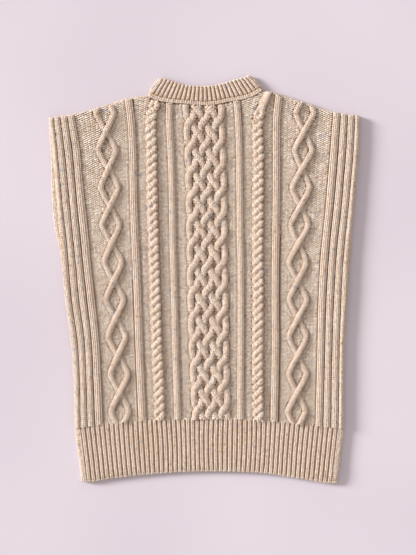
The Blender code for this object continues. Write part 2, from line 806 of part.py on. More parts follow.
def make_neckband(material):
    """The neckband, one ring of 1x1 rib: its back half lies on top, its front half below."""
    low = smooth_edge(BACK_NECK, NECK_STEPS, SEAM_GAP)
    high = smooth_edge(NECK_TOP, NECK_STEPS)
    loops = []
    pitch = (1 - 4 * NECKBAND_FOLD_SHARE) / NECKBAND_RIB_COUNT
    for index in range(NECKBAND_RIB_COUNT):
        for flank, column in ((0.0, 1), (RIB_FLANK, 2), (1 - RIB_FLANK, 2)):
            share = 2 * NECKBAND_FOLD_SHARE + (index + flank) * pitch
            heights = [BACK_INNER_Z + row[column] for row in NECKBAND_SECTION]
            loops.append(band_loop(along(low, share), along(high, share), heights, BACK_INNER_Z))
    loops += fold_loops(low, high, lambda inset: 1 - inset, -1)
    base_ends = (low[0], low[-1])
    free_ends = (high[0], high[-1])
    free_drop = FRONT_NECK_DROP - FRONT_BAND_WIDTH + free_ends[0][1] - base_ends[0][1]
    heights = [underside_z(number) for number in range(len(NECKBAND_SECTION))]
    for step in range(SCOOP_STEPS - 1, 0, -1):
        angle = math.pi * step / SCOOP_STEPS
        base = scoop_point(angle, base_ends, FRONT_NECK_DROP, 2 * SEAM_GAP)
        free = scoop_point(angle, free_ends, free_drop)
        loops.append(band_loop(base, free, heights, FRONT_THICKNESS))
    loops += reversed(fold_loops(low, high, lambda inset: inset, 1))
    points = [point for loop in loops for point in loop]
    size = len(loops[0])
    faces = []
    for index in range(len(loops)):
        start, following = index * size, (index + 1) % len(loops) * size
        for number in range(size):
            after = (number + 1) % size
            faces.append((start + number, following + number, following + after))
            faces.append((start + number, following + after, start + after))
    return solid("neckband", points, faces, material)


def make_wool():
    """Undyed heathered wool."""
    wool = bpy.data.materials.new("oatmeal wool")
    wool.use_nodes = True
    shader = wool.node_tree.nodes["Principled BSDF"]
    shader.inputs["Base Color"].default_value = WOOL_COLOUR
    shader.inputs["Roughness"].default_value = WOOL_ROUGHNESS
    shader.inputs["Metallic"].default_value = 0.0
    return wool


def main():
    for thing in list(bpy.data.objects):
        bpy.data.objects.remove(thing)
    wool = make_wool()
    make_back_panel(wool)
    make_front_panel(wool)
    make_back_hem(wool)
    make_front_hem(wool)
    make_neckband(wool)


main()
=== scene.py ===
"""The looks of a cable-knit sweater vest that lies face down, its back facing up.

Metres, +Z up. The hem points to -Y and the neck to +Y. Every piece of cloth is a closed wall
on the form of its solid, and carries its stitches as meshes of yarn.
"""
import math

import bpy
import numpy as np
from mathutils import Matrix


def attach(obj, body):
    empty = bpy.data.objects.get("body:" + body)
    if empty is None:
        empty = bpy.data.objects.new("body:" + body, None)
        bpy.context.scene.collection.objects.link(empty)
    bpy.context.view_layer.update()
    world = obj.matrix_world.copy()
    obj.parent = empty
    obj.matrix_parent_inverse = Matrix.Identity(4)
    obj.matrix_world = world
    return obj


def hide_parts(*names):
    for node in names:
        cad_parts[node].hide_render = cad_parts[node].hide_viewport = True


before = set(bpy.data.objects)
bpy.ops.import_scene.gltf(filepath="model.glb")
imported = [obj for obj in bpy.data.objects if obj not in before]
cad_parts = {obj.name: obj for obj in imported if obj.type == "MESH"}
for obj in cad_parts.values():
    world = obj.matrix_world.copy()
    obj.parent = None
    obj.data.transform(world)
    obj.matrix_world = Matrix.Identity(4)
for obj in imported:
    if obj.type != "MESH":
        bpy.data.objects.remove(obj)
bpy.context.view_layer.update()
rng = np.random.default_rng(11)


# ---------------------------------------------------------------------------
# The surface that the vest lies on: smooth pale lilac card with soft cloudy patches of painted
# shade, lit softly from the left, and the camera straight above it. None of it belongs to the vest.
# ---------------------------------------------------------------------------

TABLE_SIZE = 16.0
TABLE_Z = -0.0001  # just under the vest, so that the two never share a plane
TABLE_COLOUR = (0.675, 0.616, 0.675, 1.0)
# Painted shade: the card is dimmer in soft clouds, as if the light fell unevenly on it.
TABLE_PAINTED_SHADE_COLOUR = (0.625, 0.567, 0.626, 1.0)
TABLE_SHADE_CLOUD_WAVES = 2.3

bpy.ops.mesh.primitive_plane_add(size=TABLE_SIZE, location=(0.0, 0.0, TABLE_Z))
table = bpy.context.object
table.name = "table"

card = bpy.data.materials.new("pale card")
card.use_nodes = True
nodes, links = card.node_tree.nodes, card.node_tree.links
shader = nodes["Principled BSDF"]
shader.inputs["Roughness"].default_value = 0.85
shader.inputs["Specular IOR Level"].default_value = 0.2
place = nodes.new("ShaderNodeTexCoord")
clouds = nodes.new("ShaderNodeTexNoise")
clouds.inputs["Scale"].default_value = TABLE_SHADE_CLOUD_WAVES
clouds.inputs["Detail"].default_value = 1.0
tones_and_shade = nodes.new("ShaderNodeMix")
tones_and_shade.data_type = "RGBA"
tones_and_shade.inputs["A"].default_value = TABLE_PAINTED_SHADE_COLOUR
tones_and_shade.inputs["B"].default_value = TABLE_COLOUR
spread = nodes.new("ShaderNodeMapRange")
spread.inputs["From Min"].default_value = 0.35
spread.inputs["From Max"].default_value = 0.65
links.new(place.outputs["Object"], clouds.inputs["Vector"])
links.new(clouds.outputs["Fac"], spread.inputs["Value"])
links.new(spread.outputs["Result"], tones_and_shade.inputs["Factor"])
links.new(tones_and_shade.outputs["Result"], shader.inputs["Base Color"])
table.data.materials.append(card)

# A large soft lamp on the left, a little towards the neck, and the light of a pale room.
LAMP_AZIMUTH = math.radians(163.0)
LAMP_ELEVATION = math.radians(21.5)
LAMP_SPREAD = math.radians(18.0)
LAMP_STRENGTH = 4.7
LAMP_COLOUR = (1.0, 0.990, 0.990)
ROOM_COLOUR = (1.0, 0.940, 0.915, 1.0)
ROOM_STRENGTH = 0.67
lamp_data = bpy.data.lights.new("window light", "SUN")
lamp_data.energy = LAMP_STRENGTH
lamp_data.angle = LAMP_SPREAD
lamp_data.color = LAMP_COLOUR
lamp = bpy.data.objects.new("window light", lamp_data)
bpy.context.scene.collection.objects.link(lamp)
lamp.rotation_euler = (0.0, math.pi / 2 - LAMP_ELEVATION, LAMP_AZIMUTH)

room = bpy.data.worlds.new("pale room")
room.use_nodes = True
sky = room.node_tree.nodes["Background"]
sky.inputs["Color"].default_value = ROOM_COLOUR
sky.inputs["Strength"].default_value = ROOM_STRENGTH
bpy.context.scene.world = room
bpy.context.scene.view_settings.view_transform = "Standard"

# The photograph's frame: 416 pixels of 1.6 mm across, seen from 3 m above the vest.
VIEW_DISTANCE = 3.0
VIEW_WIDTH = 416 * 0.0016
VIEW_CENTRE = (0.0064, 0.0032)
VEST_MIDDLE_Z = 0.009
SENSOR_WIDTH = 36.0
camera_data = bpy.data.cameras.new("camera")
camera_data.sensor_fit = "HORIZONTAL"
camera_data.sensor_width = SENSOR_WIDTH
camera_data.lens = SENSOR_WIDTH * VIEW_DISTANCE / VIEW_WIDTH
camera = bpy.data.objects.new("camera", camera_data)
camera.location = (*VIEW_CENTRE, VEST_MIDDLE_Z + VIEW_DISTANCE)
bpy.context.scene.collection.objects.link(camera)
bpy.context.scene.camera = camera


# ---------------------------------------------------------------------------
# The back's cloth: one piece, knitted flat from the hem line to the shoulders in heathered
# oatmeal wool, and lying on the front. This closed wall is the ground and the hollows between
# the stitches, coloured dark brown as painted shade between them and darker still as painted
# shade in the creases; the yarn itself is laid on it in the next sections.
# ---------------------------------------------------------------------------

SEAM_GAP = 0.0003
FRONT_THICKNESS = 0.0050
BACK_INNER_Z = FRONT_THICKNESS + SEAM_GAP
GROUND_THICKNESS = 0.0034
EDGE_THICKNESS = 0.0014
RIB_HEIGHT = 0.0042
SIDE_ROUNDING = 0.0050
SHOULDER_ROUNDING = 0.0065
CROWN = math.radians(72.0)
YARN_DEPTH = 0.0012
CREASE_WIDTH = 0.0010
CREASE_DEPTH = 0.0014
CREASE_TOP = 0.0025
# How dark the painted shade in the creases beside ribs and strands is.
CREASE_SHADE = 0.35
LEAST_THICKNESS = 0.0003

# The four wide ribs down each side: where their valleys run.
LEFT_RIB_LINES = (
    # y       edge     valley   valley   valley   ground
    (0.2585, -0.2490, -0.2405, -0.2300, -0.2185, -0.2065),
    (0.2070, -0.2430, -0.2350, -0.2235, -0.2110, -0.1975),
    (0.1590, -0.2385, -0.2305, -0.2185, -0.2065, -0.1935),
    (0.1110, -0.2345, -0.2260, -0.2140, -0.2025, -0.1880),
    (0.0630, -0.2310, -0.2200, -0.2095, -0.1975, -0.1830),
    (0.0310, -0.2285, -0.2175, -0.2060, -0.1945, -0.1805),
    (-0.0330, -0.2225, -0.2120, -0.2000, -0.1875, -0.1735),
    (-0.0970, -0.2135, -0.2030, -0.1915, -0.1805, -0.1670),
    (-0.1610, -0.2085, -0.1990, -0.1885, -0.1775, -0.1635),
    (-0.2360, -0.2070, -0.1980, -0.1865, -0.1745, -0.1605),
)
RIGHT_RIB_LINES = (
    # y      ground   valley   valley   valley   edge
    (0.2585, 0.2055, 0.2180, 0.2295, 0.2415, 0.2490),
    (0.2070, 0.2015, 0.2145, 0.2270, 0.2390, 0.2475),
    (0.1590, 0.1975, 0.2110, 0.2230, 0.2350, 0.2435),
    (0.1110, 0.1935, 0.2065, 0.2190, 0.2305, 0.2395),
    (0.0630, 0.1885, 0.2015, 0.2135, 0.2255, 0.2350),
    (0.0310, 0.1855, 0.1990, 0.2110, 0.2225, 0.2325),
    (-0.0330, 0.1825, 0.1950, 0.2075, 0.2190, 0.2295),
    (-0.0970, 0.1810, 0.1935, 0.2050, 0.2170, 0.2250),
    (-0.1610, 0.1795, 0.1920, 0.2035, 0.2160, 0.2240),
    (-0.2360, 0.1775, 0.1900, 0.2030, 0.2150, 0.2235),
)

# Centre lines of the middle columns, and how far apart the plait's strands run.
MIDDLE_LINES = (
    # y       wave L   rib L    rope L   rib L    plait    rib R    rope R  rib R    wave R   slot
    (0.2920, -0.1600, -0.1215, -0.0760, -0.0550, -0.0015, 0.0515, 0.0995, 0.1200, 0.1625, 0.01105),
    (0.2585, -0.1580, -0.1170, -0.0845, -0.0555, 0.0000, 0.0545, 0.0865, 0.1165, 0.1610, 0.01105),
    (0.2070, -0.1550, -0.1140, -0.0840, -0.0530, 0.0018, 0.0565, 0.0865, 0.1160, 0.1590, 0.01100),
    (0.1590, -0.1517, -0.1130, -0.0835, -0.0515, 0.0035, 0.0570, 0.0865, 0.1160, 0.1557, 0.01100),
    (0.1110, -0.1500, -0.1120, -0.0825, -0.0505, 0.0042, 0.0575, 0.0860, 0.1155, 0.1540, 0.01100),
    (0.0630, -0.1480, -0.1100, -0.0810, -0.0500, 0.0048, 0.0580, 0.0860, 0.1150, 0.1515, 0.01095),
    (0.0310, -0.1457, -0.1085, -0.0800, -0.0490, 0.0053, 0.0590, 0.0860, 0.1145, 0.1500, 0.01090),
    (-0.0330, -0.1425, -0.1060, -0.0780, -0.0470, 0.0065, 0.0590, 0.0865, 0.1140, 0.1503, 0.01090),
    (-0.0970, -0.1390, -0.1040, -0.0760, -0.0460, 0.0077, 0.0590, 0.0860, 0.1145, 0.1500, 0.01070),
    (-0.1610, -0.1353, -0.1015, -0.0730, -0.0440, 0.0098, 0.0585, 0.0860, 0.1135, 0.1495, 0.01045),
    (-0.2360, -0.1340, -0.0980, -0.0705, -0.0415, 0.0122, 0.0585, 0.0870, 0.1120, 0.1475, 0.01025),
)
WAVE_L, RIB_OUT_L, ROPE_L, RIB_IN_L, PLAIT, RIB_IN_R, ROPE_R, RIB_OUT_R, WAVE_R, SLOT = range(1, 11)
OUTER_RIB_WIDTH = 0.0135
INNER_RIB_WIDTH = 0.0120

# Edges that run across the back.
LEFT_SHOULDER = (
    # x        y
    (-0.2490, 0.2585),
    (-0.2305, 0.2615),
    (-0.2145, 0.2635),
    (-0.1985, 0.2675),
    (-0.1825, 0.2710),
    (-0.1665, 0.2762),
    (-0.1505, 0.2810),
    (-0.1345, 0.2863),
    (-0.1185, 0.2905),
    (-0.1025, 0.2935),
    (-0.0895, 0.2927),
)
BACK_NECK = (
    # x        y
    (-0.0895, 0.2930),
    (-0.0785, 0.2870),
    (-0.0670, 0.2840),
    (-0.0510, 0.2820),
    (-0.0350, 0.2810),
    (-0.0190, 0.2795),
    (0.0015, 0.2780),
    (0.0175, 0.2790),
    (0.0335, 0.2825),
    (0.0495, 0.2855),
    (0.0655, 0.2880),
    (0.0800, 0.2930),
    (0.0930, 0.3010),
)
RIGHT_SHOULDER = (
    # x       y
    (0.0930, 0.3004),
    (0.1025, 0.3012),
    (0.1135, 0.2990),
    (0.1250, 0.2935),
    (0.1375, 0.2908),
    (0.1535, 0.2855),
    (0.1695, 0.2800),
    (0.1855, 0.2735),
    (0.2015, 0.2695),
    (0.2175, 0.2665),
    (0.2335, 0.2640),
    (0.2490, 0.2620),
)
HEM_LINE = (
    # x        y
    (-0.2070, -0.2390),
    (-0.1790, -0.2345),
    (-0.1425, -0.2290),
    (-0.0945, -0.2262),
    (-0.0465, -0.2240),
    (0.0095, -0.2222),
    (0.0575, -0.2235),
    (0.0975, -0.2262),
    (0.1410, -0.2308),
    (0.1855, -0.2348),
    (0.2235, -0.2385),
)

# Diamond cables, ropes and the plait: how often they cross and how far their strands swing.
WAVE_PITCH, WAVE_OPENING_Y, WAVE_SWING, WAVE_SHARPNESS = 0.0597, 0.2070, 0.0138, 0.975
WAVE_HALF_WIDTH, WAVE_HEIGHT, WAVE_LIFT = 0.0050, 0.0046, 0.0022
ROPE_PITCH, ROPE_CROSSING_Y, ROPE_SWING = 0.0133, 0.0310, 0.0050
ROPE_HALF_WIDTH, ROPE_HEIGHT, ROPE_LIFT = 0.0048, 0.0044, 0.0026
ROPE_LATE = math.radians(40.0)
ROPE_LAST_Y = (0.27705, 0.26375)
ROPE_MERGE_LENGTH, ROPE_MERGE_SHARE = 0.010, 0.6
PLAIT_PITCH, PLAIT_CROSSING_Y, PLAIT_SLOTS = 0.0384, 0.0232, 6
PLAIT_HALF_WIDTH, PLAIT_HEIGHT, PLAIT_LIFT = 0.0057, 0.0044, 0.0024
PLAIT_BULGE, PLAIT_TURN_SHARE = 0.0009, 0.6
PLAIT_SOFT_SHARE = 0.55  # how high every second row of crossings stands, against the others


def curve(table, column=1):
    """A smooth line through one column of a table, straight past its ends."""
    rows = np.array(sorted(table))
    keys, values = rows[:, 0], rows[:, column]
    slopes = np.diff(values) / np.diff(keys)
    bends = np.concatenate([slopes[:1], (slopes[:-1] + slopes[1:]) / 2, slopes[-1:]])

    def at(key):
        key = np.asarray(key, dtype=float)
        index = np.clip(np.searchsorted(keys, key, "right") - 1, 0, len(keys) - 2)
        span = keys[index + 1] - keys[index]
        t = np.clip((key - keys[index]) / span, 0.0, 1.0)
        smooth = (
            (2 * t**3 - 3 * t**2 + 1) * values[index]
            + (t**3 - 2 * t**2 + t) * span * bends[index]
            + (3 * t**2 - 2 * t**3) * values[index + 1]
            + (t**3 - t**2) * span * bends[index + 1]
        )
        before = np.minimum(key - keys[0], 0.0) * slopes[0]
        after = np.maximum(key - keys[-1], 0.0) * slopes[-1]
        return smooth + before + after

    return at


left_ribs = [curve(LEFT_RIB_LINES, column) for column in range(1, 6)]
right_ribs = [curve(RIGHT_RIB_LINES, column) for column in range(1, 6)]
middle = {column: curve(MIDDLE_LINES, column) for column in range(1, 11)}
left_edge, right_edge = left_ribs[0], right_ribs[-1]
left_shoulder, right_shoulder = curve(LEFT_SHOULDER), curve(RIGHT_SHOULDER)
neck_edge, hem_edge = curve(BACK_NECK), curve(HEM_LINE)
NECK_LEFT_X, NECK_RIGHT_X = BACK_NECK[0][0], BACK_NECK[-1][0]


def top_edge(x):
    """The back's upper edge: shoulder, neck, shoulder."""
    shoulders = np.where(x < 0, left_shoulder(x), right_shoulder(x))
    on_neck = (x > NECK_LEFT_X) & (x < NECK_RIGHT_X)
    return np.where(on_neck, neck_edge(x) - SEAM_GAP, shoulders)


def rounded(distance, reach):
    """How far a rounded edge has risen at a distance in from it, 0 to 1."""
    return np.sqrt(1 - (1 - np.clip(distance / reach, 0.0, 1.0)) ** 2)


def cloth_z(x, y, height):
    """Where the back's surface lies if it stands some height above the ground stitches."""
    side = np.minimum(x - left_edge(y), right_edge(y) - x)
    past_corner = np.minimum(x - NECK_LEFT_X, NECK_RIGHT_X - x)
    shoulder = np.hypot(top_edge(x) - y, np.maximum(past_corner, 0.0))
    fall = rounded(side, SIDE_ROUNDING) * rounded(shoulder, SHOULDER_ROUNDING)
    return BACK_INNER_Z + EDGE_THICKNESS + (GROUND_THICKNESS + height - EDGE_THICKNESS) * fall


def dome(share, height):
    """The height of a rounded ridge, at a share of its half width from its middle."""
    angle = np.arcsin(np.clip(share, -1.0, 1.0) * math.sin(CROWN))
    return height * (np.cos(angle) - math.cos(CROWN)) / (1 - math.cos(CROWN))


def wave_path(centre, side):
    """One strand of a diamond cable: its sideways place and its lift at each y."""
    def at(y):
        angle = math.pi * (y - WAVE_OPENING_Y) / WAVE_PITCH
        swing = WAVE_SWING * np.arcsin(WAVE_SHARPNESS * np.cos(angle)) / math.asin(WAVE_SHARPNESS)
        return centre(y) + side * swing, -side * WAVE_LIFT * np.sin(angle)
    return at


def rope_path(centre, side, last_y):
    """One strand of a rope, highest late in its way across; the two run together past last_y."""
    def at(y):
        twisted = np.minimum(y, last_y)
        angle = math.pi * (twisted - ROPE_CROSSING_Y) / ROPE_PITCH + math.pi / 2
        lift = -side * ROPE_LIFT * np.sin(angle - ROPE_LATE)
        merged = 1 - ROPE_MERGE_SHARE * np.clip((y - last_y) / ROPE_MERGE_LENGTH, 0.0, 1.0)
        return centre(y) + side * ROPE_SWING * merged * np.cos(angle), lift
    return at


def plait_slot(step):
    """The slot that a strand stands in: out across, a rest, and back."""
    step = step % (2 * PLAIT_SLOTS)
    return np.where(step < PLAIT_SLOTS, step, 2 * PLAIT_SLOTS - 1 - step)


def plait_path(centre, index):
    """One of the six strands of the plait, which climbs across all the slots and back."""
    def at(y):
        steps = 2 * (y - PLAIT_CROSSING_Y) / PLAIT_PITCH + 0.5 + 2 * index
        step = np.floor(steps).astype(int)
        share = steps - step
        slot, target = plait_slot(step), plait_slot(step + 1)
        eased = slot + (target - slot) * (1 - np.cos(math.pi * share)) / 2
        over = np.where(step % 2 == 0, 1.0, -PLAIT_SOFT_SHARE) * np.sign(target - slot)
        turning = np.where(target == slot, np.where(slot > 0, 1.0, -1.0), 0.0)
        offset = (eased - (PLAIT_SLOTS - 1) / 2) * middle[SLOT](y)
        offset = offset + turning * PLAIT_BULGE * np.sin(math.pi * share)
        turning_lift = turning * PLAIT_TURN_SHARE * np.sin(2 * math.pi * share)
        return centre(y) + offset, PLAIT_LIFT * (over * np.sin(math.pi * share) + turning_lift)
    return at


def lean_of(path, y, step=0.0005):
    """How far a strand moves sideways for each metre that it climbs."""
    return (path(y + step)[0] - path(y - step)[0]) / (2 * step)


# Every ridge of the back: ribs from their two edges, strands from their paths.
side_rib_edges = list(zip(left_ribs, left_ribs[1:])) + list(zip(right_ribs, right_ribs[1:]))
middle_rib_edges = []
for column, width in (
    (RIB_OUT_L, OUTER_RIB_WIDTH),
    (RIB_IN_L, INNER_RIB_WIDTH),
    (RIB_IN_R, INNER_RIB_WIDTH),
    (RIB_OUT_R, OUTER_RIB_WIDTH),
):
    middle_rib_edges.append(
        (
            lambda y, line=middle[column], half=width / 2: line(y) - half,
            lambda y, line=middle[column], half=width / 2: line(y) + half,
        )
    )
wave_paths = [wave_path(middle[column], side) for column in (WAVE_L, WAVE_R) for side in (1, -1)]
rope_ends = tuple(zip((ROPE_L, ROPE_R), ROPE_LAST_Y))
rope_paths = [rope_path(middle[column], side, last) for column, last in rope_ends for side in (1, -1)]
plait_paths = [plait_path(middle[PLAIT], index) for index in range(PLAIT_SLOTS)]
strand_sets = (
    (wave_paths, WAVE_HALF_WIDTH, WAVE_HEIGHT),
    (rope_paths, ROPE_HALF_WIDTH, ROPE_HEIGHT),
    (plait_paths, PLAIT_HALF_WIDTH, PLAIT_HEIGHT),
)


def rib_relief(x, y):
    """How far the ribs stand above the ground at each point."""
    highest = np.zeros_like(x)
    for left, right in side_rib_edges + middle_rib_edges:
        low, high = left(y), right(y)
        share = (2 * x - low - high) / (high - low)
        highest = np.maximum(highest, np.where(abs(share) < 1, dome(share, RIB_HEIGHT), 0.0))
    return highest


def cable_relief(x, y):
    """How far the cables stand above the ground at each point."""
    highest = np.zeros_like(x)
    for paths, half_width, height in strand_sets:
        for path in paths:
            place, lift = path(y)
            share = (x - place) / (half_width * np.hypot(1.0, lean_of(path, y)))
            rise = np.where(abs(share) < 1, lift + dome(share, height), 0.0)
            highest = np.maximum(highest, rise)
    return highest


def crease(x, y):
    """How near each point is to the foot of a rib or of a strand, 0 to 1."""
    nearest = np.full_like(x, 1.0)
    for left, right in side_rib_edges + middle_rib_edges:
        nearest = np.minimum(nearest, np.minimum(abs(x - left(y)), abs(x - right(y))))
    for paths, half_width, _ in strand_sets:
        for path in paths:
            beyond = abs(x - path(y)[0]) / np.hypot(1.0, lean_of(path, y)) - half_width
            nearest = np.minimum(nearest, abs(beyond))
    return np.exp(-((nearest / CREASE_WIDTH) ** 2))


NEAR_HEM_Y, NEAR_TOP_Y = -0.23, 0.28
CROSSING_TRIES = 10


def crossing(x_at, edge, y):
    """Where lines up the cloth meet an edge across it, found from a place nearby."""
    for _ in range(CROSSING_TRIES):
        y = edge(x_at(y))
    return y


def make_mesh(name, points, faces, material, tones_and_shade=None):
    """An object from arrays of points and of faces that all have the same number of corners."""
    mesh = bpy.data.meshes.new(name)
    corners = faces.shape[1]
    mesh.vertices.add(len(points))
    mesh.vertices.foreach_set("co", points.astype(np.float32).ravel())
    mesh.loops.add(faces.size)
    mesh.loops.foreach_set("vertex_index", faces.astype(np.int32).ravel())
    mesh.polygons.add(len(faces))
    mesh.polygons.foreach_set("loop_start", np.arange(len(faces), dtype=np.int32) * corners)
    mesh.update(calc_edges=True)
    if tones_and_shade is not None:
        mesh.attributes.new("tone_and_shade", "FLOAT", "POINT").data.foreach_set("value", tones_and_shade.astype(np.float32))
    mesh.shade_smooth()
    mesh.materials.append(material)
    thing = bpy.data.objects.new(name, mesh)
    bpy.context.scene.collection.objects.link(thing)
    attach(thing, "root")
    return thing


def grid_faces(columns, rows, start=0):
    """Triangles between a grid of points that are numbered along each column."""
    corner = start + (np.arange(columns - 1)[:, None] * rows + np.arange(rows - 1)[None, :]).ravel()
    first = np.stack([corner, corner + rows, corner + rows + 1], axis=1)
    return np.concatenate([first, np.stack([corner, corner + rows + 1, corner + 1], axis=1)])


def outline(columns, rows):
    """The numbers of the points round a grid, anticlockwise from its first one."""
    return np.concatenate(
        [
            np.arange(columns) * rows,
            (columns - 1) * rows + np.arange(1, rows),
            np.arange(columns - 2, -1, -1) * rows + rows - 1,
            np.arange(rows - 2, 0, -1),
        ]
    )


def closed_wall(name, upper, lower, material, tones_and_shade, step=1, lower_wool=None):
    """A closed wall between two grids that share an outline; the lower one keeps every few points."""
    columns, rows = upper.shape[:2]
    kept_columns = np.unique(np.append(np.arange(0, columns, step), columns - 1))
    kept_rows = np.unique(np.append(np.arange(0, rows, step), rows - 1))
    lower = lower[kept_columns][:, kept_rows]
    ring = outline(columns, rows)
    lower_ring = outline(len(kept_columns), len(kept_rows)) + columns * rows
    corner = columns + rows - 2
    stops = np.concatenate(
        [
            kept_columns,
            columns - 1 + kept_rows[1:],
            corner + columns - 1 - kept_columns[::-1][1:],
            corner + columns + rows - 2 - kept_rows[::-1][1:-1],
            [len(ring)],
        ]
    )
    # Each stretch of the upper outline between two kept points fans down to the two of them.
    rim = []
    for number, (start, stop) in enumerate(zip(stops, stops[1:])):
        here, there = lower_ring[number], lower_ring[(number + 1) % len(lower_ring)]
        halfway = (start + stop) // 2
        for place in range(start, stop):
            foot = here if place < halfway else there
            rim.append((ring[place], foot, ring[(place + 1) % len(ring)]))
        rim.append((ring[halfway], here, there))
    below = grid_faces(len(kept_columns), len(kept_rows), columns * rows)[:, ::-1]
    points = np.concatenate([upper.reshape(-1, 3), lower.reshape(-1, 3)])
    tones_and_shade = np.concatenate([tones_and_shade.ravel(), np.full(len(points) - tones_and_shade.size, tones_and_shade.mean())])
    faces = np.concatenate([grid_faces(columns, rows), rim, below])
    wall = make_mesh(name, points, faces, material, tones_and_shade)
    if lower_wool:
        wall.data.materials.append(lower_wool)
        on_the_underside = np.arange(len(faces)) >= len(faces) - len(below)
        wall.data.polygons.foreach_set("material_index", on_the_underside.astype(np.int32))
    return wall


# Heathered wool: two natural fleeces carded together, with cream, rust and blue-grey neps.
heather = bpy.data.node_groups.new("heathered wool", "ShaderNodeTree")
heather.interface.new_socket("Light", in_out="INPUT", socket_type="NodeSocketColor")
heather.interface.new_socket("Dark", in_out="INPUT", socket_type="NodeSocketColor")
heather.interface.new_socket("Nep Amount", in_out="INPUT", socket_type="NodeSocketFloat")
heather.interface.new_socket("Colour", in_out="OUTPUT", socket_type="NodeSocketColor")
heather.interface.new_socket("Fibres", in_out="OUTPUT", socket_type="NodeSocketFloat")
parts, wires = heather.nodes, heather.links
given, result = parts.new("NodeGroupInput"), parts.new("NodeGroupOutput")
where = parts.new("ShaderNodeTexCoord")


def feed(socket, value):
    """Gives a socket its value, which is another socket or a constant."""
    if isinstance(value, bpy.types.NodeSocket):
        wires.new(value, socket)
    else:
        socket.default_value = value


def mixed(first, second, factor, kind="MIX"):
    """A mix of two colours inside the group."""
    node = parts.new("ShaderNodeMix")
    node.data_type = "RGBA"
    node.blend_type = kind
    feed(node.inputs["A"], first)
    feed(node.inputs["B"], second)
    feed(node.inputs["Factor"], factor)
    return node.outputs["Result"]


def ramped(value, low, high):
    """A value stretched so that low gives 0 and high gives 1."""
    node = parts.new("ShaderNodeMapRange")
    node.inputs["From Min"].default_value = low
    node.inputs["From Max"].default_value = high
    wires.new(value, node.inputs["Value"])
    return node.outputs["Result"]


def noise(scale, detail):
    """Noise over the cloth; the scale is in waves a metre."""
    node = parts.new("ShaderNodeTexNoise")
    node.inputs["Scale"].default_value = scale
    node.inputs["Detail"].default_value = detail
    wires.new(where.outputs["Object"], node.inputs["Vector"])
    return node.outputs["Fac"]


def maths(operation, first, second=0.0):
    """One step of arithmetic inside the group."""
    node = parts.new("ShaderNodeMath")
    node.operation = operation
    feed(node.inputs[0], first)
    feed(node.inputs[1], second)
    return node.outputs[0]


def neps(scale, size, share, seed):
    """A mask of small tufts, in a share of the cells of a pattern."""
    shift = parts.new("ShaderNodeVectorMath")
    shift.inputs[1].default_value = (seed, seed * 0.7, seed * 1.3)
    wires.new(where.outputs["Object"], shift.inputs[0])
    cells = parts.new("ShaderNodeTexVoronoi")
    cells.inputs["Scale"].default_value = scale
    wires.new(shift.outputs[0], cells.inputs["Vector"])
    chosen = parts.new("ShaderNodeSeparateColor")
    wires.new(cells.outputs["Color"], chosen.inputs["Color"])
    tuft = ramped(cells.outputs["Distance"], size, size * 0.5)
    return maths("MULTIPLY", tuft, ramped(chosen.outputs["Red"], 1 - share, 1 - share * 0.8))


TUFT_WAVES = 260.0
CLOUD_WAVES = 55.0
CLOUD_STRENGTH = 0.35
FIBRE_WAVES = 1500.0
FIBRE_SHADE = (0.70, 0.66, 0.62, 1.0)
FIBRE_STRENGTH = 0.35
NEPS = (
    # colour                     cells  size  share seed strength; cells are those in a metre
    ((0.900, 0.800, 0.690, 1.0), 230.0, 0.42, 0.20, 3.1, 0.5),
    ((0.500, 0.260, 0.100, 1.0), 150.0, 0.45, 0.08, 7.7, 0.7),
    ((0.400, 0.420, 0.500, 1.0), 110.0, 0.42, 0.10, 5.3, 0.8),
)
light_fleece, dark_fleece = given.outputs["Light"], given.outputs["Dark"]
shade = mixed(light_fleece, dark_fleece, ramped(noise(TUFT_WAVES, 2.0), 0.40, 0.66))
clouds = maths("MULTIPLY", ramped(noise(CLOUD_WAVES, 1.0), 0.5, 0.75), CLOUD_STRENGTH)
shade = mixed(shade, dark_fleece, clouds)
speckle = ramped(noise(FIBRE_WAVES, 1.0), 0.3, 0.7)
speckled = mixed(shade, FIBRE_SHADE, 1.0, "MULTIPLY")
shade = mixed(shade, speckled, maths("MULTIPLY", speckle, FIBRE_STRENGTH))
for nep_colour, cells, size, share, seed, strength in NEPS:
    amount = maths("MULTIPLY", given.outputs["Nep Amount"], strength)
    shade = mixed(shade, nep_colour, maths("MULTIPLY", neps(cells, size, share, seed), amount))
wires.new(shade, result.inputs["Colour"])
wires.new(speckle, result.inputs["Fibres"])

# Painted shade: low tones darken the wool towards this brown, as in the shadow between yarns.
SHADE_TINT = (0.36, 0.225, 0.13, 1.0)


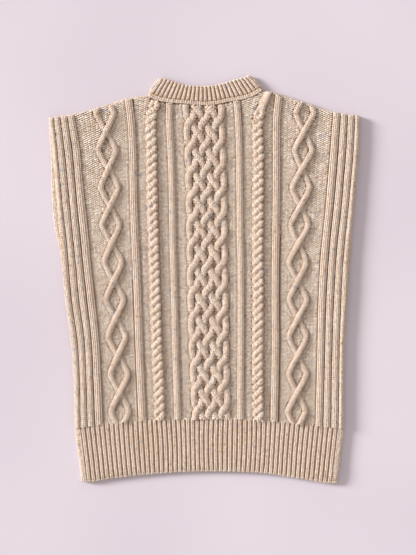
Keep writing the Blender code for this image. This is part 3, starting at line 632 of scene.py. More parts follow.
def wool(name, light, dark, nep_amount, fibre_height):
    """A wool material from the heather group, darkened by each point's tone and painted shade."""
    material = bpy.data.materials.new(name)
    material.use_nodes = True
    nodes, links = material.node_tree.nodes, material.node_tree.links
    shader = nodes["Principled BSDF"]
    shader.inputs["Roughness"].default_value = 0.92
    shader.inputs["Specular IOR Level"].default_value = 0.18
    shader.inputs["Sheen Weight"].default_value = 0.12
    shader.inputs["Sheen Roughness"].default_value = 0.6
    shader.inputs["Sheen Tint"].default_value = (1.0, 0.95, 0.88, 1.0)
    yarn = nodes.new("ShaderNodeGroup")
    yarn.node_tree = heather
    yarn.inputs["Light"].default_value = light
    yarn.inputs["Dark"].default_value = dark
    yarn.inputs["Nep Amount"].default_value = nep_amount
    tone_and_shade = nodes.new("ShaderNodeAttribute")
    tone_and_shade.attribute_name = "tone_and_shade"
    tint = nodes.new("ShaderNodeMix")
    tint.data_type = "RGBA"
    tint.clamp_factor = False
    tint.inputs["A"].default_value = SHADE_TINT
    tint.inputs["B"].default_value = (1.0, 1.0, 1.0, 1.0)
    shaded = nodes.new("ShaderNodeMix")
    shaded.data_type = "RGBA"
    shaded.blend_type = "MULTIPLY"
    shaded.inputs["Factor"].default_value = 1.0
    bump = nodes.new("ShaderNodeBump")
    bump.inputs["Strength"].default_value = 0.6
    bump.inputs["Distance"].default_value = fibre_height
    links.new(yarn.outputs["Colour"], shaded.inputs["A"])
    links.new(tone_and_shade.outputs["Fac"], tint.inputs["Factor"])
    links.new(tint.outputs["Result"], shaded.inputs["B"])
    links.new(shaded.outputs["Result"], shader.inputs["Base Color"])
    links.new(yarn.outputs["Fibres"], bump.inputs["Height"])
    links.new(bump.outputs["Normal"], shader.inputs["Normal"])
    return material


# Dark brown: painted shade in the gaps between the stitches.
hollow_shade_wool = wool(
    "wool in the hollows, painted shade",
    light=(0.47, 0.28, 0.15, 1.0),
    dark=(0.35, 0.20, 0.10, 1.0),
    nep_amount=0.2,
    fibre_height=0.0004,
)

# The inner and lower faces show knit stitches pressed flat: slanted ridges in columns.
ROW = 0.003317  # the height of one row of stitches, on both sides of the cloth
PRESSED_COLUMN = 0.0055
PRESSED_SLANT = 2.6
PRESSED_HEIGHT = 0.0012
pressed = bpy.data.node_groups.new("pressed stitches", "ShaderNodeTree")
pressed.interface.new_socket("Column Width", in_out="INPUT", socket_type="NodeSocketFloat")
pressed.interface.new_socket("Row Height", in_out="INPUT", socket_type="NodeSocketFloat")
pressed.interface.new_socket("Height", in_out="OUTPUT", socket_type="NodeSocketFloat")
parts, wires = pressed.nodes, pressed.links
given, result = parts.new("NodeGroupInput"), parts.new("NodeGroupOutput")
where = parts.new("ShaderNodeTexCoord")
axes = parts.new("ShaderNodeSeparateXYZ")
wires.new(where.outputs["Object"], axes.inputs["Vector"])
columns = maths("DIVIDE", axes.outputs["X"], given.outputs["Column Width"])
rows = maths("DIVIDE", axes.outputs["Y"], given.outputs["Row Height"])
from_middle = maths("ABSOLUTE", maths("SUBTRACT", maths("FRACT", columns), 0.5))
slanted = maths("SUBTRACT", rows, maths("MULTIPLY", from_middle, PRESSED_SLANT))
ridge = maths("ABSOLUTE", maths("SINE", maths("MULTIPLY", slanted, math.pi)))
leg = maths("SINE", maths("MULTIPLY", from_middle, 2 * math.pi))
wires.new(maths("MULTIPLY", ridge, leg), result.inputs["Height"])

underside_wool = wool(
    "wool of the underside",
    light=(0.80, 0.69, 0.58, 1.0),
    dark=(0.62, 0.485, 0.37, 1.0),
    nep_amount=1.0,
    fibre_height=0.0003,
)
nodes, links = underside_wool.node_tree.nodes, underside_wool.node_tree.links
knit = nodes.new("ShaderNodeGroup")
knit.node_tree = pressed
knit.inputs["Column Width"].default_value = PRESSED_COLUMN
knit.inputs["Row Height"].default_value = ROW
knit_bump = nodes.new("ShaderNodeBump")
knit_bump.inputs["Strength"].default_value = 1.0
knit_bump.inputs["Distance"].default_value = PRESSED_HEIGHT
links.new(knit.outputs["Height"], knit_bump.inputs["Height"])
links.new(knit_bump.outputs["Normal"], nodes["Bump"].inputs["Normal"])

# Columns of the mesh: one on every edge of a rib, and closer together beside it.
BACK_ROWS = 200
WIDEST_RIB = 0.0150
RIB_COLUMNS = 10
COLUMN_SPACING = 0.0016
WALL_STEP = 5
line_pairs = []
rib_lines = left_ribs + [edge for edges in middle_rib_edges for edge in edges] + right_ribs
for left, right in zip(rib_lines, rib_lines[1:]):
    width = float(right(0.0) - left(0.0))
    is_rib = width < WIDEST_RIB
    count = RIB_COLUMNS if is_rib else round(width / COLUMN_SPACING)
    even = np.arange(count) / count
    shares = (even + (1 - np.cos(math.pi * even)) / 2) / 2 if is_rib else even
    line_pairs.append((left, right, shares))
line_pairs.append((right_edge, right_edge, np.zeros(1)))
column_starts = np.cumsum([0] + [len(shares) for left, right, shares in line_pairs])


def back_x(y):
    """Where each column of the mesh runs at its own y."""
    strips = []
    for start, (left, right, shares) in zip(column_starts, line_pairs):
        here = y[start : start + len(shares)]
        strips.append(left(here) * (1 - shares[:, None]) + right(here) * shares[:, None])
    return np.concatenate(strips)


low = crossing(back_x, hem_edge, np.full((column_starts[-1], 1), NEAR_HEM_Y))
high = crossing(back_x, top_edge, np.full((column_starts[-1], 1), NEAR_TOP_Y))
back_y = low + (high - low) * np.linspace(0.0, 1.0, BACK_ROWS)[None, :]
back_places = back_x(back_y)
relief = np.maximum(rib_relief(back_places, back_y), cable_relief(back_places, back_y))
surface = cloth_z(back_places, back_y, relief)
creased = crease(back_places, back_y) * (1 - np.clip(relief / CREASE_TOP, 0.0, 1.0))
sunk = np.maximum(surface - YARN_DEPTH - CREASE_DEPTH * creased, BACK_INNER_Z + LEAST_THICKNESS)
upper = np.stack([back_places, back_y, sunk], axis=2)
lower = upper.copy()
lower[:, :, 2] = BACK_INNER_Z
# Painted shade: the cloth darkens near the feet of ribs and strands.
crease_painted_shade = 1 - CREASE_SHADE * creased
back_cloth = closed_wall("back_cloth", upper, lower, hollow_shade_wool, crease_painted_shade, WALL_STEP, underside_wool)
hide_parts("back_panel")


# ---------------------------------------------------------------------------
# The ribs of the back: two columns of knit stitches each, every stitch a V of two legs of
# yarn. Four wide ribs down each side, the outermost being the edge, and four in the middle.
# ---------------------------------------------------------------------------

LEG_LENGTH = 0.74
LEG_WIDTH = 0.00170
LEG_HEIGHT = 0.00125
LEG_LEAN = math.radians(27.0)
SURFACE_SINK = 0.0006
LEG_LEAN_SPREAD = 0.06
LEG_SIZE_SPREAD = 0.05
LEG_PLACE_SPREAD = 0.00012
RIB_KNIT_COLUMNS = (-0.44, 0.44)
LONE_COLUMN_SPREAD = 0.42
RING_SHAPE = ((-1.0, -0.25), (-0.55, 0.85), (0.55, 0.85), (1.0, -0.25))


def yarn_shape(places, sizes, bow, tip_drop):
    """A bit of yarn, bowed upwards: rings of four points along it, and a tip at each end."""
    points = [(-1.0, 0.0, -tip_drop)]
    for place, size in zip(places, sizes):
        for across, up in RING_SHAPE:
            points.append((place, across * size, up * size - bow * place**2))
    points.append((1.0, 0.0, -tip_drop))
    tip = len(points) - 1
    around = len(RING_SHAPE)
    faces = []
    for side in range(around):
        after = (side + 1) % around
        faces.append((0, 1 + after, 1 + side))
        for ring in range(1, tip - around, around):
            faces.append((ring + side, ring + after, ring + around + side))
            faces.append((ring + after, ring + around + after, ring + around + side))
        faces.append((tip, tip - around + side, tip - around + after))
    return np.array(points), np.array(faces)


knit_leg = yarn_shape(places=(-0.60, 0.0, 0.60), sizes=(0.82, 1.0, 0.82), bow=0.35, tip_drop=0.35)


def unit(vectors):
    """The same directions, each one metre long."""
    return vectors / np.linalg.norm(vectors, axis=1, keepdims=True)


def lay_legs(point, across, along, row, lean, width=LEG_WIDTH, height=LEG_HEIGHT, length=LEG_LENGTH):
    """Legs of yarn on a surface, each a little unlike the rest: their centres and three half axes."""
    across, along = np.broadcast_arrays(np.asarray(across, float), np.asarray(along, float))
    across, along = across.ravel(), along.ravel()
    centre = point(across, along)
    up_cloth = point(across, along + row / 2) - point(across, along - row / 2)
    side_step = 0.04
    over_cloth = unit(point(across + side_step, along) - point(across - side_step, along))
    stretch = np.linalg.norm(up_cloth, axis=1, keepdims=True)
    up_cloth = up_cloth / stretch
    over_cloth = unit(over_cloth - up_cloth * np.sum(over_cloth * up_cloth, axis=1, keepdims=True))
    normal = np.cross(over_cloth, up_cloth)
    turn = (lean + rng.normal(0.0, LEG_LEAN_SPREAD, across.shape))[:, None]
    direction = up_cloth * np.cos(turn) + over_cloth * np.sin(turn)
    wide = np.cross(direction, normal)
    size = 1 + rng.normal(0.0, LEG_SIZE_SPREAD, (len(centre), 1))
    centre = centre + rng.normal(0.0, LEG_PLACE_SPREAD, centre.shape)
    return centre, direction * stretch * length * size, wide * width * size, normal * height * size


# Knit stitches are coloured darker than the purl ground of the same yarn: partly a deeper brown, partly
# painted shade that takes down their highlights.
STITCH_TONE_AND_SHADE = 0.80
TONE_SPREAD = 0.07
# Painted shade on the low sides of every bit of yarn, where it meets the cloth.
BURIED_BELOW = 0.2
BURIED_PAINTED_SHADE = 0.82


def stitch_mesh(name, laid, material, tone_and_shade=STITCH_TONE_AND_SHADE, shape=knit_leg, buried_painted_shade=BURIED_PAINTED_SHADE):
    """One mesh of all the stitches that were laid, each a copy of one shape, with painted shade low down.
    """
    shape_points, shape_faces = shape
    centre, length, width, height = (np.concatenate([legs[part] for legs in laid]) for part in range(4))
    along, across, up = (shape_points[None, :, axis, None] for axis in range(3))
    points = centre[:, None] + along * length[:, None]
    points = points + across * width[:, None] + up * height[:, None]
    faces = shape_faces[None] + (np.arange(len(centre)) * len(shape_points))[:, None, None]
    low_painted_shade = np.where(shape_points[:, 2] < BURIED_BELOW, buried_painted_shade, 1.0)
    tones_and_shade = (tone_and_shade * (1 + rng.normal(0.0, TONE_SPREAD, len(centre))))[:, None] * low_painted_shade
    piece = make_mesh(name, points.reshape(-1, 3), faces.reshape(-1, 3), material, tones_and_shade.ravel())
    return piece


def knit_columns(point, columns, rows, row, **sizes):
    """Knit stitches: at each column a V of two legs that opens upwards."""
    spread = columns[-1] / 2 if len(columns) > 1 else LONE_COLUMN_SPREAD
    laid = []
    for column in columns:
        for side in (-1, 1):
            laid.append(lay_legs(point, column + side * spread, rows, row, side * LEG_LEAN, **sizes))
    return laid


def rib_surface(left, right):
    """The surface of a rib: u from -1 to 1 across it, and y along it."""
    def point(u, y):
        low, high = left(y), right(y)
        x = (low + high) / 2 + u * (high - low) / 2
        z = cloth_z(x, y, dome(u, RIB_HEIGHT)) - SURFACE_SINK
        return np.stack([x, y, z], axis=1)
    return point


def rows_up(line):
    """Row places from the hem line to the top edge, along a line up the cloth."""
    bottom = float(crossing(line, hem_edge, NEAR_HEM_Y))
    top = float(crossing(line, top_edge, NEAR_TOP_Y))
    count = int((top - bottom) / ROW)
    return bottom + (np.arange(count) + 0.5) * (top - bottom) / count


knit_wool = wool(
    "knitted wool",
    light=(0.89, 0.785, 0.685, 1.0),
    dark=(0.75, 0.60, 0.475, 1.0),
    nep_amount=0.8,
    fibre_height=0.0003,
)


def ribs(name, edges):
    """The stitches of some ribs, as one piece."""
    laid = []
    for left, right in edges:
        rows = rows_up(lambda y, left=left, right=right: (left(y) + right(y)) / 2)
        laid += knit_columns(rib_surface(left, right), RIB_KNIT_COLUMNS, rows, ROW)
    return stitch_mesh(name, laid, knit_wool)


back_pieces = [
    ribs("left_rib_stitches", side_rib_edges[:4]),
    ribs("right_rib_stitches", side_rib_edges[4:]),
    ribs("middle_rib_stitches", middle_rib_edges),
]


# ---------------------------------------------------------------------------
# The cables of the back: strands of two knit columns that cross over and under each other.
# An open diamond on each side, a four-stitch rope inside it, and a six-strand plait.
# ---------------------------------------------------------------------------

CABLE_ROWS_FROM, CABLE_ROWS_TO = -0.2400, 0.3030
CABLE_END_MARGIN = 0.0008
CABLE_LEGS = (
    # piece              leg width  leg height
    ("diamond_stitches", 0.00155, 0.0012),
    ("rope_stitches", 0.00175, 0.0010),
    ("plait_stitches", 0.00175, 0.0011),
)


def strand_surface(path, half_width, height):
    """The surface of a strand: u from -1 to 1 across it, and y along it."""
    def point(u, y):
        place, lift = path(y)
        lean = lean_of(path, y)
        slant = np.hypot(1.0, lean)
        x = place + u * half_width / slant
        up = y - u * half_width * lean / slant
        z = cloth_z(x, up, lift + dome(u, height)) - SURFACE_SINK
        return np.stack([x, up, z], axis=1)
    return point


def inside_back(legs):
    """Only the legs whose middle lies between the hem line and the top edge."""
    x, y = legs[0][:, 0], legs[0][:, 1]
    kept = (y > hem_edge(x) - CABLE_END_MARGIN) & (y < top_edge(x) - CABLE_END_MARGIN)
    return tuple(part[kept] for part in legs)


def cables(name, paths, half_width, height, leg_width, leg_height):
    """The stitches of some strands, as one piece."""
    laid = []
    rows = np.arange(CABLE_ROWS_FROM, CABLE_ROWS_TO, ROW)
    for path in paths:
        surface = strand_surface(path, half_width, height)
        columns = knit_columns(surface, RIB_KNIT_COLUMNS, rows, ROW, width=leg_width, height=leg_height)
        laid += [inside_back(legs) for legs in columns]
    return stitch_mesh(name, laid, knit_wool)


for (name, leg_width, leg_height), strands in zip(CABLE_LEGS, strand_sets):
    back_pieces.append(cables(name, *strands, leg_width, leg_height))


# ---------------------------------------------------------------------------
# The purl ground between the ribs and cables: two small bumps of yarn to each stitch, in
# rows that follow the hem near it and run level higher up.
# ---------------------------------------------------------------------------

PURL_WIDTH = 0.0052
PURL_HALF_LENGTH = 0.00215
PURL_HALF_WIDTH = 0.00124
PURL_HEIGHT = 0.0017
PURL_SIZES = (1.08, 0.90)
PURL_TILT = math.radians(12.0)
PURL_TILT_SPREAD = 0.12
PURL_SIZE_SPREAD = 0.05
PURL_PLACE_SPREAD = 0.00015
PURL_ROWS_FROM, PURL_ROWS_TO = -0.2420, 0.3050
PURL_TOP_MARGIN = 0.001
HIGHEST_RIB_FOOT = 0.0004
HIGHEST_CABLE_FOOT = 0.0003
# Purl bumps are coloured lighter than the knit stitches of the same yarn: painted light on ground that
# the ribs shade.
PURL_TONE_AND_LIGHT = 1.16
PURL_TONE_SPREAD = 0.11
PURL_BURIED_PAINTED_SHADE = 0.96
HEM_FADE = 0.100
purl_bump = yarn_shape(places=(-0.5, 0.5), sizes=(1.0, 1.0), bow=0.0, tip_drop=0.5)


def purl_bumps(left, right):
    """Purl bumps between two lines up the cloth."""
    mean_width = float(right(0.0) - left(0.0))
    count = max(1, round(mean_width / PURL_WIDTH))
    bumps = []
    for half_row in (0, 1):
        level = np.arange(PURL_ROWS_FROM, PURL_ROWS_TO, ROW)[None, :] + half_row * ROW / 2
        share = ((np.arange(count) + 0.25 + 0.5 * half_row) / count)[:, None]
        x = left(level) * (1 - share) + right(level) * share
        stretch = np.broadcast_to((right(level) - left(level)) / count / PURL_WIDTH, x.shape).ravel()
        sag = hem_edge(x) - hem_edge(0.0)
        y = level + sag * np.clip(1 - (level - hem_edge(x)) / HEM_FADE, 0.0, 1.0)
        x, y = x.ravel(), y.ravel()
        free = (rib_relief(x, y) < HIGHEST_RIB_FOOT) & (cable_relief(x, y) < HIGHEST_CABLE_FOOT)
        free &= (y > hem_edge(x)) & (y < top_edge(x) - PURL_TOP_MARGIN)
        x, y, stretch = x[free], y[free], stretch[free, None]
        z = cloth_z(x, y, 0.0) - SURFACE_SINK
        centre = np.stack([x, y, z], axis=1) + rng.normal(0.0, PURL_PLACE_SPREAD, (len(x), 3))
        tilt = PURL_TILT + rng.normal(0.0, PURL_TILT_SPREAD, len(x))
        size = PURL_SIZES[half_row] * (1 + rng.normal(0.0, PURL_SIZE_SPREAD, len(x)))[:, None]
        nothing = np.zeros_like(x)
        along = np.stack([np.cos(tilt), np.sin(tilt), nothing], axis=1)
        length = along * PURL_HALF_LENGTH * size * stretch
        width = np.stack([np.sin(tilt), -np.cos(tilt), nothing], axis=1) * PURL_HALF_WIDTH * size
        height = np.tile((0.0, 0.0, PURL_HEIGHT), (len(x), 1))
        bumps.append((centre, length, width, height))
    return bumps


ground_lines = [left_ribs[-1], *(middle[column] for column in range(WAVE_L, WAVE_R + 1)), right_ribs[0]]
laid = []
for left, right in zip(ground_lines, ground_lines[1:]):
    laid += purl_bumps(left, right)
bump_centres = np.concatenate([bumps[0] for bumps in laid])
# Painted shade: bumps darken near the feet of ribs and strands; the rest of their tone varies at random.
bump_tones_and_shade = PURL_TONE_AND_LIGHT * (1 - CREASE_SHADE * crease(bump_centres[:, 0], bump_centres[:, 1]))
bump_tones_and_shade *= 1 + rng.normal(0.0, PURL_TONE_SPREAD, len(bump_tones_and_shade))
purl = stitch_mesh("purl_stitches", laid, knit_wool, bump_tones_and_shade, purl_bump, PURL_BURIED_PAINTED_SHADE)
back_pieces.append(purl)

# The bound-off edge along each shoulder: one row of stitches lying along it.
BOUND_STITCH = 0.0034
BOUND_INSET = 0.0012
BOUND_LEG = {"lean": 0.5, "width": 0.0014, "height": 0.0014, "length": 0.72}


def shoulder_surface(edge):
    """The surface beside a shoulder's edge: u inwards from it in millimetres, and x along it."""
    def point(u, x):
        y = edge(x) - BOUND_INSET - u * 0.001
        z = cloth_z(x, y, 0.0) - SURFACE_SINK / 2
        return np.stack([x, y, z], axis=1)
    return point


laid = []
for edge, table in ((left_shoulder, LEFT_SHOULDER), (right_shoulder, RIGHT_SHOULDER)):
    places = np.arange(table[0][0] + BOUND_STITCH, table[-1][0], BOUND_STITCH)
    laid.append(lay_legs(shoulder_surface(edge), 0.0, places, BOUND_STITCH, **BOUND_LEG))
back_pieces.append(stitch_mesh("shoulder_stitches", laid, knit_wool))


# ---------------------------------------------------------------------------
# The back's hem: 1x1 rib knitted on below the back, 54 ribs of one knit column each between
# narrow purl hollows, with plain stitches at the side seams and a slightly rolled edge.
# ---------------------------------------------------------------------------

HEM_BOTTOM = (
    # x        y
    (-0.1960, -0.3235),
    (-0.1825, -0.3238),
    (-0.1505, -0.3187),
    (-0.1105, -0.3137),
    (-0.0625, -0.3095),
    (-0.0065, -0.3070),
    (0.0575, -0.3078),
    (0.1055, -0.3110),
    (0.1535, -0.3185),
    (0.1855, -0.3240),
    (0.2015, -0.3262),
    (0.2130, -0.3255),
)
HEM_RIBS = 54
HEM_RIB_HEIGHT = 0.0025
HEM_GROUND = 0.0030
HEM_SEAM = 0.0095
HEM_RIB_SHARE = 0.86
HEM_SEAM_RISE = 0.6
HEM_SWAY, HEM_SWAY_WAVES, HEM_SWAY_START = 0.0011, 19, 1.3
HEM_ENDS = (
    # down   thickness
    (0.00, 0.96),
    (0.06, 1.00),
    (0.50, 1.00),
    (0.93, 1.04),
    (1.00, 0.55),
)
hem_bottom = curve(HEM_BOTTOM)
hem_ends = curve(HEM_ENDS)
HEM_WIDTH = HEM_LINE[-1][0] - HEM_LINE[0][0]
HEM_SEAM_SHARE = HEM_SEAM / HEM_WIDTH
HEM_RIB_PITCH = (1 - 2 * HEM_SEAM_SHARE) / HEM_RIBS


def hem_place(across, down):
    """A point of the hem: across from its left edge and down from the hem line, both 0 to 1."""
    top_x = HEM_LINE[0][0] + HEM_WIDTH * across
    bottom_x = HEM_BOTTOM[0][0] + (HEM_BOTTOM[-1][0] - HEM_BOTTOM[0][0]) * across
    top_y = hem_edge(top_x) - SEAM_GAP
    sway = HEM_SWAY * np.sin(HEM_SWAY_WAVES * across + HEM_SWAY_START)
    sway = sway * np.sin(math.pi * down) * np.sin(math.pi * across)
    return top_x + (bottom_x - top_x) * down + sway, top_y + (hem_bottom(bottom_x) - top_y) * down


def hem_thickness(across, down):
    """The thickness of the hem: ribs, hollows, and edges that round off at the sides."""
    within = (across - HEM_SEAM_SHARE) / HEM_RIB_PITCH
    phase = within - np.floor(within) - 0.5
    ribbed = dome(phase / (HEM_RIB_SHARE / 2), HEM_RIB_HEIGHT) * (abs(phase) < HEM_RIB_SHARE / 2)
    seam = np.minimum(across, 1 - across) < HEM_SEAM_SHARE
    height = HEM_GROUND + np.where(seam, HEM_RIB_HEIGHT * HEM_SEAM_RISE, ribbed)
    fall = rounded(np.minimum(across, 1 - across) * HEM_WIDTH, SIDE_ROUNDING)
    return (EDGE_THICKNESS + (height - EDGE_THICKNESS) * fall) * hem_ends(down)


HEM_COLUMNS_A_RIB = 7
HEM_SEAM_COLUMNS = 15
HEM_MESH_ROWS = 31
HEM_WALL_STEP = 6
# Brown: painted shade in the hollows between the hem's and the neckband's ribs.
hem_hollow_shade_wool = wool(
    "wool in the hem's hollows, painted shade",
    light=(0.62, 0.42, 0.265, 1.0),
    dark=(0.47, 0.30, 0.175, 1.0),
    nep_amount=0.3,
    fibre_height=0.0004,
)
hem_across = np.linspace(0.0, 1.0, HEM_RIBS * HEM_COLUMNS_A_RIB + HEM_SEAM_COLUMNS)[:, None]
hem_down = np.linspace(1.0, 0.0, HEM_MESH_ROWS)[None, :]
hem_x, hem_y = hem_place(hem_across, hem_down)
hem_z = BACK_INNER_Z + np.maximum(hem_thickness(hem_across, hem_down) - YARN_DEPTH, LEAST_THICKNESS)
upper = np.stack([hem_x, hem_y, hem_z], axis=2)
lower = upper.copy()
lower[:, :, 2] = BACK_INNER_Z
hem_tones = np.ones(hem_z.shape)
back_hem_cloth = closed_wall(
    "back_hem_cloth", upper, lower, hem_hollow_shade_wool, hem_tones, HEM_WALL_STEP, underside_wool
)
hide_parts("back_hem_rib")


def hem_surface(centre, half):
    """The surface of one column of the hem: u from -1 to 1 across it, and v up it from 0 to 1."""
    def point(u, v):
        across, down = centre + u * half, 1 - v
        x, y = hem_place(across, down)
        z = BACK_INNER_Z + hem_thickness(across, down) - SURFACE_SINK
        return np.stack([x, y, z], axis=1)
    return point


rib_wool = wool(
    "ribbed wool",
    light=(0.89, 0.78, 0.68, 1.0),
    dark=(0.75, 0.60, 0.475, 1.0),
    nep_amount=0.8,
    fibre_height=0.0003,
)
HEM_STITCH_ROWS = 26
HEM_FIRST_ROW = 0.7
HEM_LEG_WIDTH = 0.00160
HEM_SEAM_KNIT_COLUMNS = (-0.45, 0.45)
CAST_ON_UP = 0.012
CAST_ON_LEG = {"lean": math.pi / 2 - 0.25, "length": 0.75}
EDGE_REACH = 0.985
hem_row = 1 / HEM_STITCH_ROWS
hem_rows = (np.arange(HEM_STITCH_ROWS) + HEM_FIRST_ROW) * hem_row
laid = []
for index in range(HEM_RIBS):
    centre = HEM_SEAM_SHARE + (index + 0.5) * HEM_RIB_PITCH
    column = hem_surface(centre, HEM_RIB_PITCH * HEM_RIB_SHARE / 2)
    laid += knit_columns(column, (0.0,), hem_rows, hem_row, width=HEM_LEG_WIDTH)
for centre in (HEM_SEAM_SHARE / 2, 1 - HEM_SEAM_SHARE / 2):
    seam = hem_surface(centre, HEM_SEAM_SHARE / 2)
    laid += knit_columns(seam, HEM_SEAM_KNIT_COLUMNS, hem_rows, hem_row)
edge_places = np.linspace(-EDGE_REACH, EDGE_REACH, HEM_RIBS * 2)
laid.append(lay_legs(hem_surface(0.5, 0.5), edge_places, CAST_ON_UP, hem_row, **CAST_ON_LEG))
back_hem_stitches = stitch_mesh("back_hem_stitches", laid, rib_wool)
HEM_CUT = (0.431, 0.095)


# ---------------------------------------------------------------------------
# The neckband: 23 ribs of one knit column each, picked up round the neck and knitted as one
# ring, with a seam ridge at its base and a cast-off edge. Its front half lies underneath.
# ---------------------------------------------------------------------------

NECK_TOP = (
    # x        y
    (-0.0680, 0.3215),
    (-0.0625, 0.3218),
    (-0.0510, 0.3185),
    (-0.0385, 0.3140),
    (-0.0225, 0.3110),
    (-0.0065, 0.3100),
    (0.0095, 0.3105),
    (0.0255, 0.3130),
    (0.0415, 0.3180),
    (0.0575, 0.3225),
    (0.0705, 0.3260),
)
FRONT_NECK_DROP = 0.0900
FRONT_BAND_WIDTH = 0.0290
NECKBAND_RIBS = 23
NECKBAND_RIB_SHARE = 0.68
NECKBAND_YARN_DEPTH = YARN_DEPTH / 2
NECKBAND_LEAST_THICKNESS = 0.0006
NECKBAND_FOLD_WIDTH = 0.0040
NECKBAND_FOLD_SHARE = 0.014
NECKBAND_RIM_BULGE = 0.08
UNDERSIDE_RIM_Z = 0.0012
NECKBAND_SECTION = (
    # across  valley  rib, both in thickness
    (0.00, 0.0012, 0.0012),
    (0.06, 0.0046, 0.0046),
    (0.15, 0.0044, 0.0046),
    (0.21, 0.0026, 0.0030),
    (0.30, 0.0030, 0.0056),
    (0.62, 0.0030, 0.0058),
    (0.93, 0.0032, 0.0052),
    (1.00, 0.0016, 0.0020),
)
BAND_SAMPLES = 18
EDGE_SAMPLES = 400
BAND_LOOPS_A_RIB = 9
FOLD_LOOPS = 9
SCOOP_LOOPS = 40
BETWEEN_LAYERS_Z = FRONT_THICKNESS + SEAM_GAP / 2
band_across = np.linspace(0.0, 1.0, BAND_SAMPLES)
band_underside = np.where((band_across == 0) | (band_across == 1), UNDERSIDE_RIM_Z, 0.0)
section_across, section_valley, section_rib = np.array(NECKBAND_SECTION).T


def evenly_along(table, offset=0.0):
    """The points of an edge, by the share of its length."""
    x = np.linspace(table[0][0], table[-1][0], EDGE_SAMPLES)
    y = curve(table)(x) + offset
    travelled = np.concatenate([[0.0], np.cumsum(np.hypot(np.diff(x), np.diff(y)))])

    def at(share):
        reach = np.asarray(share) * travelled[-1]
        return np.interp(reach, travelled, x), np.interp(reach, travelled, y)

    return at


band_base, band_free = evenly_along(BACK_NECK, SEAM_GAP), evenly_along(NECK_TOP)
NECKBAND_PITCH = (1 - 4 * NECKBAND_FOLD_SHARE) / NECKBAND_RIBS


def between(first, last, share):
    """The points at some shares of the way from one point to another."""
    return tuple(start + (end - start) * share for start, end in zip(first, last))


def band_place(share, across):
    """A point of the neckband's back half: along it and across from its base, both 0 to 1."""
    return between(band_base(share), band_free(share), across)


def band_thickness(share, across):
    """How thick the neckband is: ribs between hollows, a ridge at the base."""
    within = (share - 2 * NECKBAND_FOLD_SHARE) / NECKBAND_PITCH
    phase = within - np.floor(within) - 0.5
    ribbed = dome(phase / (NECKBAND_RIB_SHARE / 2), 1.0) * (abs(phase) < NECKBAND_RIB_SHARE / 2)
    valley = np.interp(across, section_across, section_valley)
    return valley + (np.interp(across, section_across, section_rib) - valley) * ribbed


def fold_ends(turn, angle):
    """The base and the free edge of one folded end: 90 degrees is on top, 0 is the fold itself."""
    inset = NECKBAND_FOLD_SHARE * (1 - np.cos(angle))
    share = 1 - inset if turn < 0 else inset
    return band_base(share), band_free(share)


def fold_place(turn, angle, across):
    """A point of one folded end, and how thick a rib is there."""
    rib = np.interp(across, section_across, section_rib)
    bulge = np.maximum(NECKBAND_RIM_BULGE, (rib - section_rib.min()) / np.ptp(section_rib))
    (x0, y0), (x1, y1) = fold_ends(turn, angle)
    outward = NECKBAND_FOLD_WIDTH * np.cos(angle) * turn / np.hypot(x1 - x0, y1 - y0)
    x, y = between((x0, y0), (x1, y1), across)
    return x + (y0 - y1) * outward * bulge, y + (x1 - x0) * outward * bulge, rib


def section_loop(x, y, z, base, free, inner_z):
    """One section of the neckband: round its outside, then back along its inner face."""
    outside = np.stack([x, y, z], axis=1)
    return np.concatenate([outside, [(*free, inner_z), (*base, inner_z)]])


def band_fold(turn):
    """The sections round one folded end, from the upper layer down to the lower one."""
    loops = []
    for angle in np.linspace(math.pi / 2, -math.pi / 2, FOLD_LOOPS):
        x, y, rib = fold_place(turn, angle, band_across)
        above = SEAM_GAP / 2 + rib - NECKBAND_YARN_DEPTH
        reach = above if angle >= 0 else BETWEEN_LAYERS_Z - band_underside
        z = BETWEEN_LAYERS_Z + reach * math.sin(angle)
        inner_z = BETWEEN_LAYERS_Z + math.sin(angle) * SEAM_GAP / 2
        loops.append(section_loop(x, y, z, *fold_ends(turn, angle), inner_z))
    return loops


def scoop_point(angle, ends, drop, inset=0.0):
    """A point of half an ellipse hung between two ends; the angle runs from 0 left to pi right."""
    (left_x, left_y), (right_x, right_y) = ends
    across = (1 - math.cos(angle)) / 2
    x = left_x + (right_x - left_x) * across + inset * math.cos(angle)
    return x, left_y + (right_y - left_y) * across - (drop - inset) * math.sin(angle)


loops = []
loop_steps = np.arange(NECKBAND_RIBS * BAND_LOOPS_A_RIB) / BAND_LOOPS_A_RIB
for share in 2 * NECKBAND_FOLD_SHARE + loop_steps * NECKBAND_PITCH:
    x, y = band_place(share, band_across)
    thickness = band_thickness(share, band_across) - NECKBAND_YARN_DEPTH
    z = BACK_INNER_Z + np.maximum(thickness, NECKBAND_LEAST_THICKNESS)
    loops.append(section_loop(x, y, z, (x[0], y[0]), (x[-1], y[-1]), BACK_INNER_Z))
loops += band_fold(-1)
base_ends = tuple(tuple(float(part) for part in band_base(share)) for share in (0.0, 1.0))
free_ends = tuple(tuple(float(part) for part in band_free(share)) for share in (0.0, 1.0))
free_drop = FRONT_NECK_DROP - FRONT_BAND_WIDTH + free_ends[0][1] - base_ends[0][1]
for angle in np.linspace(math.pi, 0.0, SCOOP_LOOPS + 1)[1:-1]:
    base = scoop_point(angle, base_ends, FRONT_NECK_DROP, 2 * SEAM_GAP)
    free = scoop_point(angle, free_ends, free_drop)
    x, y = between(base, free, band_across)
    loops.append(section_loop(x, y, band_underside, base, free, FRONT_THICKNESS))
loops += band_fold(1)[::-1]
loops = np.array(loops)
loop_count, loop_size = loops.shape[:2]
first = (np.arange(loop_count)[:, None] * loop_size + np.arange(loop_size)[None, :]).ravel()
beside = first - first % loop_size + (first + 1) % loop_size
next_loop = (first + loop_size) % first.size
faces = np.stack([first, beside, (beside + loop_size) % first.size, next_loop], axis=1)
neckband_points = loops.reshape(-1, 3)
neckband_cloth = make_mesh("neckband_cloth", neckband_points, faces, hem_hollow_shade_wool, np.ones(first.size))
